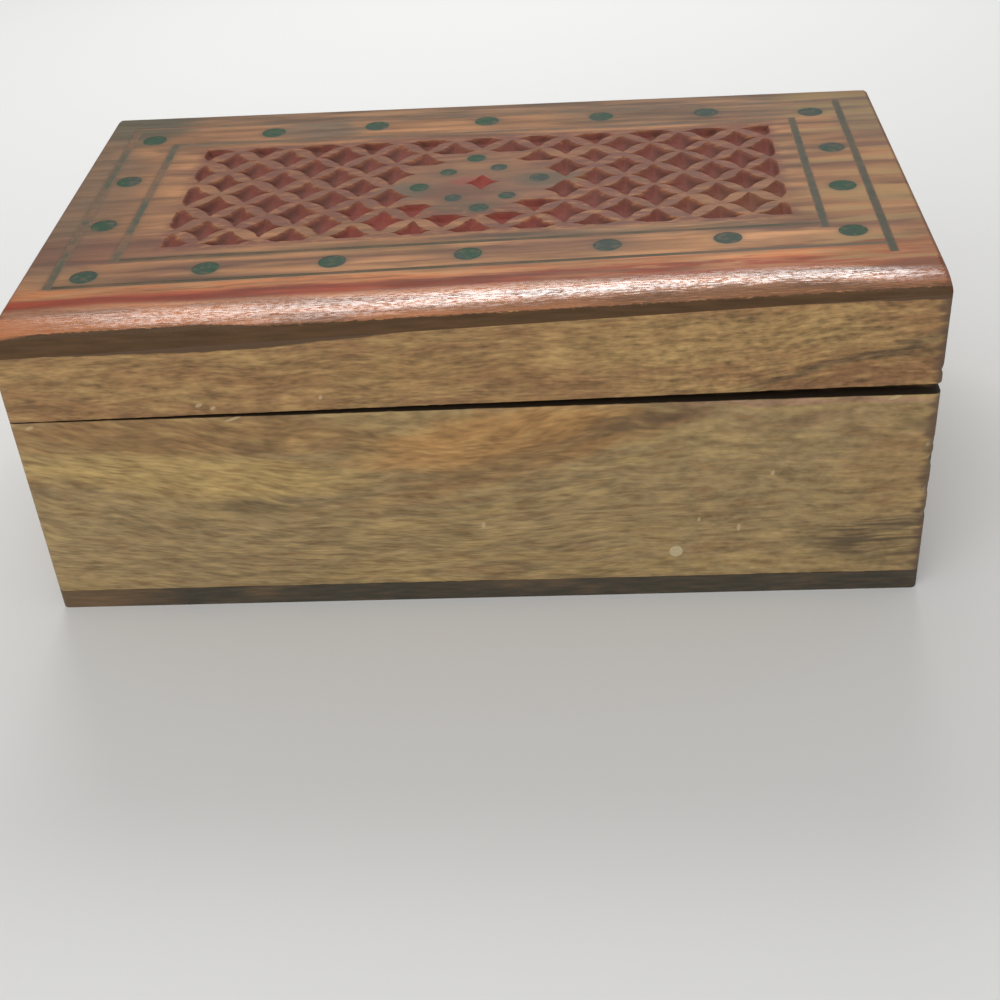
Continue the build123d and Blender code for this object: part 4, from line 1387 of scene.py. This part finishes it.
def tarnished_line(name, ground, share, centre=None, fade=None):
    """Dull tarnished metal, browned in patches by the wood's stain.

    centre is the middle of a line that runs across the lid, whose edges the stain covers.
    fade is where a line along the lid starts to vanish under the stain, and where it has.
    """
    c = colours()
    f = Finish(name, ground)
    x, y, z = f.x, f.y, f.z
    patch = f.noise(x / 9, y / 9, z / 7, 2.0, 0.55)
    mottle = f.noise(x / 2.4, y / 1.6, z / 2, 2.0, 0.6)
    speck = f.noise(x / 0.6, y / 0.6, z / 0.6, 2.0, 0.6)
    f.lay(patch.rise(0.35, 0.70) * share, c.lid_brown)
    if fade is not None:
        f.lay(x.rise(*fade) * 0.8, c.lid_smoke)
    if centre is not None:
        f.lay((abs(x - centre) + (mottle - 0.5) * 0.7).rise(0.55, 1.0) * 0.75, c.lid_brown)
    f.tone(0.45 + mottle * 0.5 + speck * 0.6)
    return f.close((speck * 0.03, 0.5), roughness=0.4 + 0.2 * speck, specular_ior_level=0.12)


def line_finishes():
    """Finish of each inlaid line: bare at the left, dim at the right, browned elsewhere."""
    c = colours()
    back = tarnished_line("tarnished back lines", c.lid_smoke, 1.0)
    finishes = {
        "inlay_outer_front": tarnished_line(
            "tarnished outer front line", c.metal_dark, 0.5, fade=(38, 62)
        ),
        "inlay_inner_front": tarnished_line("tarnished inner front line", c.metal_dark, 0.5),
        "inlay_outer_back": back,
        "inlay_inner_back": back,
    }
    for ring in ("outer", "inner"):
        for side, ground, share in (("left", c.metal_grey, 0.8), ("right", c.metal_dim, 0.2)):
            node = f"inlay_{ring}_{side}"
            low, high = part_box(node)
            middle = (low.x + high.x) / 2 / MM
            name = f"tarnish of the {ring} {side} line"
            finishes[node] = tarnished_line(name, ground, share, centre=middle)
    return finishes


def tarnish_and_reflection_dots():
    """Metal dots, some green and some greyed, each in its own tone; their green is partly tarnish and
    partly a painted reflection of a teal cloth.
    """
    c = colours()
    f = Finish("dots with tarnish and painted reflection", c.metal_green)
    x, y, z = f.x, f.y, f.z
    mottle = f.noise(x / 1.8, y / 1.4, z / 2, 2.0, 0.6)
    speck = f.noise(x / 0.6, y / 0.6, z / 0.6, 2.0, 0.6)
    f.lay(f.noise(x / 9 + 0.3, y / 9, z / 20, 1.0).rise(0.42, 0.62), c.metal_blue)
    f.lay(mottle.rise(0.52, 0.66) * 0.25, c.lid_brown)
    f.tone(0.4 + mottle * 0.7 + speck * 0.5)
    return f.close((speck * 0.03, 0.5), roughness=0.4 + 0.2 * speck, specular_ior_level=0.1)


def brass_finish():
    """Aged satin brass with brown bloom."""
    c = colours()
    f = Finish("aged hinge brass", c.brass)
    bloom = f.noise(f.x / 5, f.y / 3, f.z / 3, 3.0, 0.6)
    brushed = f.noise(f.x / 6, f.y / 0.2, f.z / 0.2)
    f.lay(bloom.rise(0.45, 0.72) * 0.7, c.brass_bloom)
    return f.close((brushed * 0.02, 0.5), metallic=0.9, roughness=0.32 + 0.25 * bloom)


def paper_finish():
    """Matt pale paper of the studio floor."""
    c = colours()
    f = Finish("studio paper", c.floor)
    f.lay(f.noise(f.x / 2, f.y / 2, 0.0) * 0.06, c.floor_tooth)
    return f.close(roughness=0.9)


def add_floor():
    """A wide floor that belongs to the studio."""
    reach = 3.0
    plane = bpy.data.meshes.new("studio floor")
    corners = [(-reach, -reach, 0), (reach, -reach, 0), (reach, reach, 0), (-reach, reach, 0)]
    plane.from_pydata(corners, [], [(0, 1, 2, 3)])
    floor = bpy.data.objects.new("studio_floor", plane)
    bpy.context.scene.collection.objects.link(floor)
    floor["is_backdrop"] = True
    dress(floor, paper_finish())


def add_softbox(name, place, target, along, spread, power):
    """A rectangular lamp that faces a target, with its width along a direction."""
    lamp = bpy.data.lights.new(name, "AREA")
    lamp.shape = "RECTANGLE"
    lamp.size, lamp.size_y = spread
    lamp.energy = power
    behind = (Vector(place) - Vector(target)).normalized()
    side = Vector(along)
    side = (side - behind * side.dot(behind)).normalized()
    body = bpy.data.objects.new(name, lamp)
    turned = Matrix((side, behind.cross(side), behind)).transposed()
    body.matrix_world = Matrix.Translation(place) @ turned.to_4x4()
    bpy.context.scene.collection.objects.link(body)


def add_sky(strength):
    """An even white light from all round."""
    world = bpy.data.worlds.new("studio sky")
    world.use_nodes = True
    sky = world.node_tree.nodes["Background"]
    sky.inputs["Color"].default_value = (1.0, 1.0, 1.0, 1.0)
    sky.inputs["Strength"].default_value = strength
    bpy.context.scene.world = world


def add_camera():
    """The camera of the photo, as fitted to the edges, the lines and the dots of the box."""
    scene = bpy.context.scene
    lens = bpy.data.cameras.new("photo camera")
    lens.sensor_width = 36.0
    lens.lens = 55.78
    lens.shift_y = 0.1146
    lens.clip_start = 0.01
    camera = bpy.data.objects.new("photo camera", lens)
    camera.location = (0.0313, -0.3526, 0.2255)
    camera.rotation_euler = [math.radians(angle) for angle in (51.43, 3.65, 2.47)]
    scene.collection.objects.link(camera)
    scene.camera = camera
    scene.view_settings.view_transform = "Standard"


class KEEPSAKE_OT_carved_lid(bpy.types.Operator):
    """Build the carved lid board and give it its lacquer and its stained chips"""

    bl_idname = "keepsake.carved_lid"
    bl_label = "Carved lid board"
    bl_options = {"REGISTER", "UNDO"}

    def execute(self, context):
        dress(carve_board(), lacquered_lid(), chip_finish(), bare_underside())
        return {"FINISHED"}


class KEEPSAKE_OT_front_boards(bpy.types.Operator):
    """Build the front wall and the front rail of the lid with worn edges"""

    bl_idname = "keepsake.front_boards"
    bl_label = "Front boards"
    bl_options = {"REGISTER", "UNDO"}

    def execute(self, context):
        dress(front_wall(), front_wall_finish())
        dress(front_rail(), front_rail_finish())
        return {"FINISHED"}


class KEEPSAKE_OT_walls(bpy.types.Operator):
    """Give the walls of the base, the rails of the lid, the bottom and the plug their wood"""

    bl_idname = "keepsake.walls"
    bl_label = "Walls, rails and bottom"
    bl_options = {"REGISTER", "UNDO"}

    def execute(self, context):
        side, back = side_finish(), back_finish()
        for node in ("base_left_wall", "base_right_wall", "lid_left_rail", "lid_right_rail"):
            dress(NODES[node], side)
        for node in ("base_back_wall", "lid_back_rail"):
            dress(NODES[node], back)
        dress(NODES["base_bottom_board"], dark_board_finish())
        dress(NODES["front_wall_plug"], plug_finish())
        return {"FINISHED"}


class KEEPSAKE_OT_inlay(bpy.types.Operator):
    """Give the inlaid lines their tarnished metal and the dots theirs, with a painted reflection in the
    dots' green
    """

    bl_idname = "keepsake.inlay"
    bl_label = "Inlaid lines and dots"
    bl_options = {"REGISTER", "UNDO"}

    def execute(self, context):
        dots = tarnish_and_reflection_dots()
        for node in DOTS:
            dress(NODES[node], dots)
        for node, finish in line_finishes().items():
            dress(NODES[node], finish)
        return {"FINISHED"}


class KEEPSAKE_OT_hinges(bpy.types.Operator):
    """Give the hinges, their pins and their screws aged brass"""

    bl_idname = "keepsake.hinges"
    bl_label = "Hinges and screws"
    bl_options = {"REGISTER", "UNDO"}

    def execute(self, context):
        brass = brass_finish()
        for node in NODES:
            if "hinge" in node:
                dress(NODES[node], brass)
        return {"FINISHED"}


class KEEPSAKE_OT_studio(bpy.types.Operator):
    """Set up the pale floor, the soft lights and the camera"""

    bl_idname = "keepsake.studio"
    bl_label = "Studio and camera"
    bl_options = {"REGISTER", "UNDO"}

    def execute(self, context):
        studio = context.scene.keepsake_studio
        add_floor()
        add_softbox(
            "rear softbox", place=(-0.06, 0.54, 0.53), target=(-0.03, -0.06, 0.075),
            along=(0.478, 0, -0.155), spread=(0.62, 0.19), power=studio.rear,
        )
        add_softbox(
            "front softbox", place=(-0.25, -1.0, 0.62), target=(0, 0, 0.04),
            along=(1, 0, 0), spread=(1.7, 1.1), power=studio.front,
        )
        add_sky(studio.sky)
        add_camera()
        return {"FINISHED"}


class KEEPSAKE_PT_panel(bpy.types.Panel):
    """Lists the sizes, the colours and the steps that dress the box"""

    bl_idname = "KEEPSAKE_PT_panel"
    bl_label = "Keepsake box"
    bl_space_type = "VIEW_3D"
    bl_region_type = "UI"
    bl_category = "Keepsake box"

    def draw(self, context):
        for name in GROUPS:
            box = self.layout.box()
            group = getattr(context.scene, name)
            for entry in group.__annotations__:
                box.prop(group, entry)
        for step in STEPS:
            self.layout.operator(step.bl_idname)


STEPS = (
    KEEPSAKE_OT_carved_lid,
    KEEPSAKE_OT_front_boards,
    KEEPSAKE_OT_walls,
    KEEPSAKE_OT_inlay,
    KEEPSAKE_OT_hinges,
    KEEPSAKE_OT_studio,
)
GROUPS = {
    "keepsake_sizes": KeepsakeBoxSizes,
    "keepsake_colours": KeepsakeBoxColours,
    "keepsake_studio": KeepsakeBoxStudio,
}
CLASSES = (*GROUPS.values(), *STEPS, KEEPSAKE_PT_panel)


def register():
    """Registers the classes and hangs the property groups on the scene."""
    for made in CLASSES:
        bpy.utils.register_class(made)
    for name, group in GROUPS.items():
        setattr(bpy.types.Scene, name, PointerProperty(type=group))


def unregister():
    """Takes away what register added."""
    for name in GROUPS:
        delattr(bpy.types.Scene, name)
    for made in reversed(CLASSES):
        bpy.utils.unregister_class(made)


def main():
    """Dresses the box step by step and gathers its bounds before and after."""
    register()
    for step in STEPS:
        family, name = step.bl_idname.split(".")
        getattr(getattr(bpy.ops, family), name)()
    bounds = {"cad": cad_bounds, "visual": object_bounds()}
    {k: [list(corner) for corner in v] for k, v in bounds.items()}


if __name__ == "__main__":
    main()
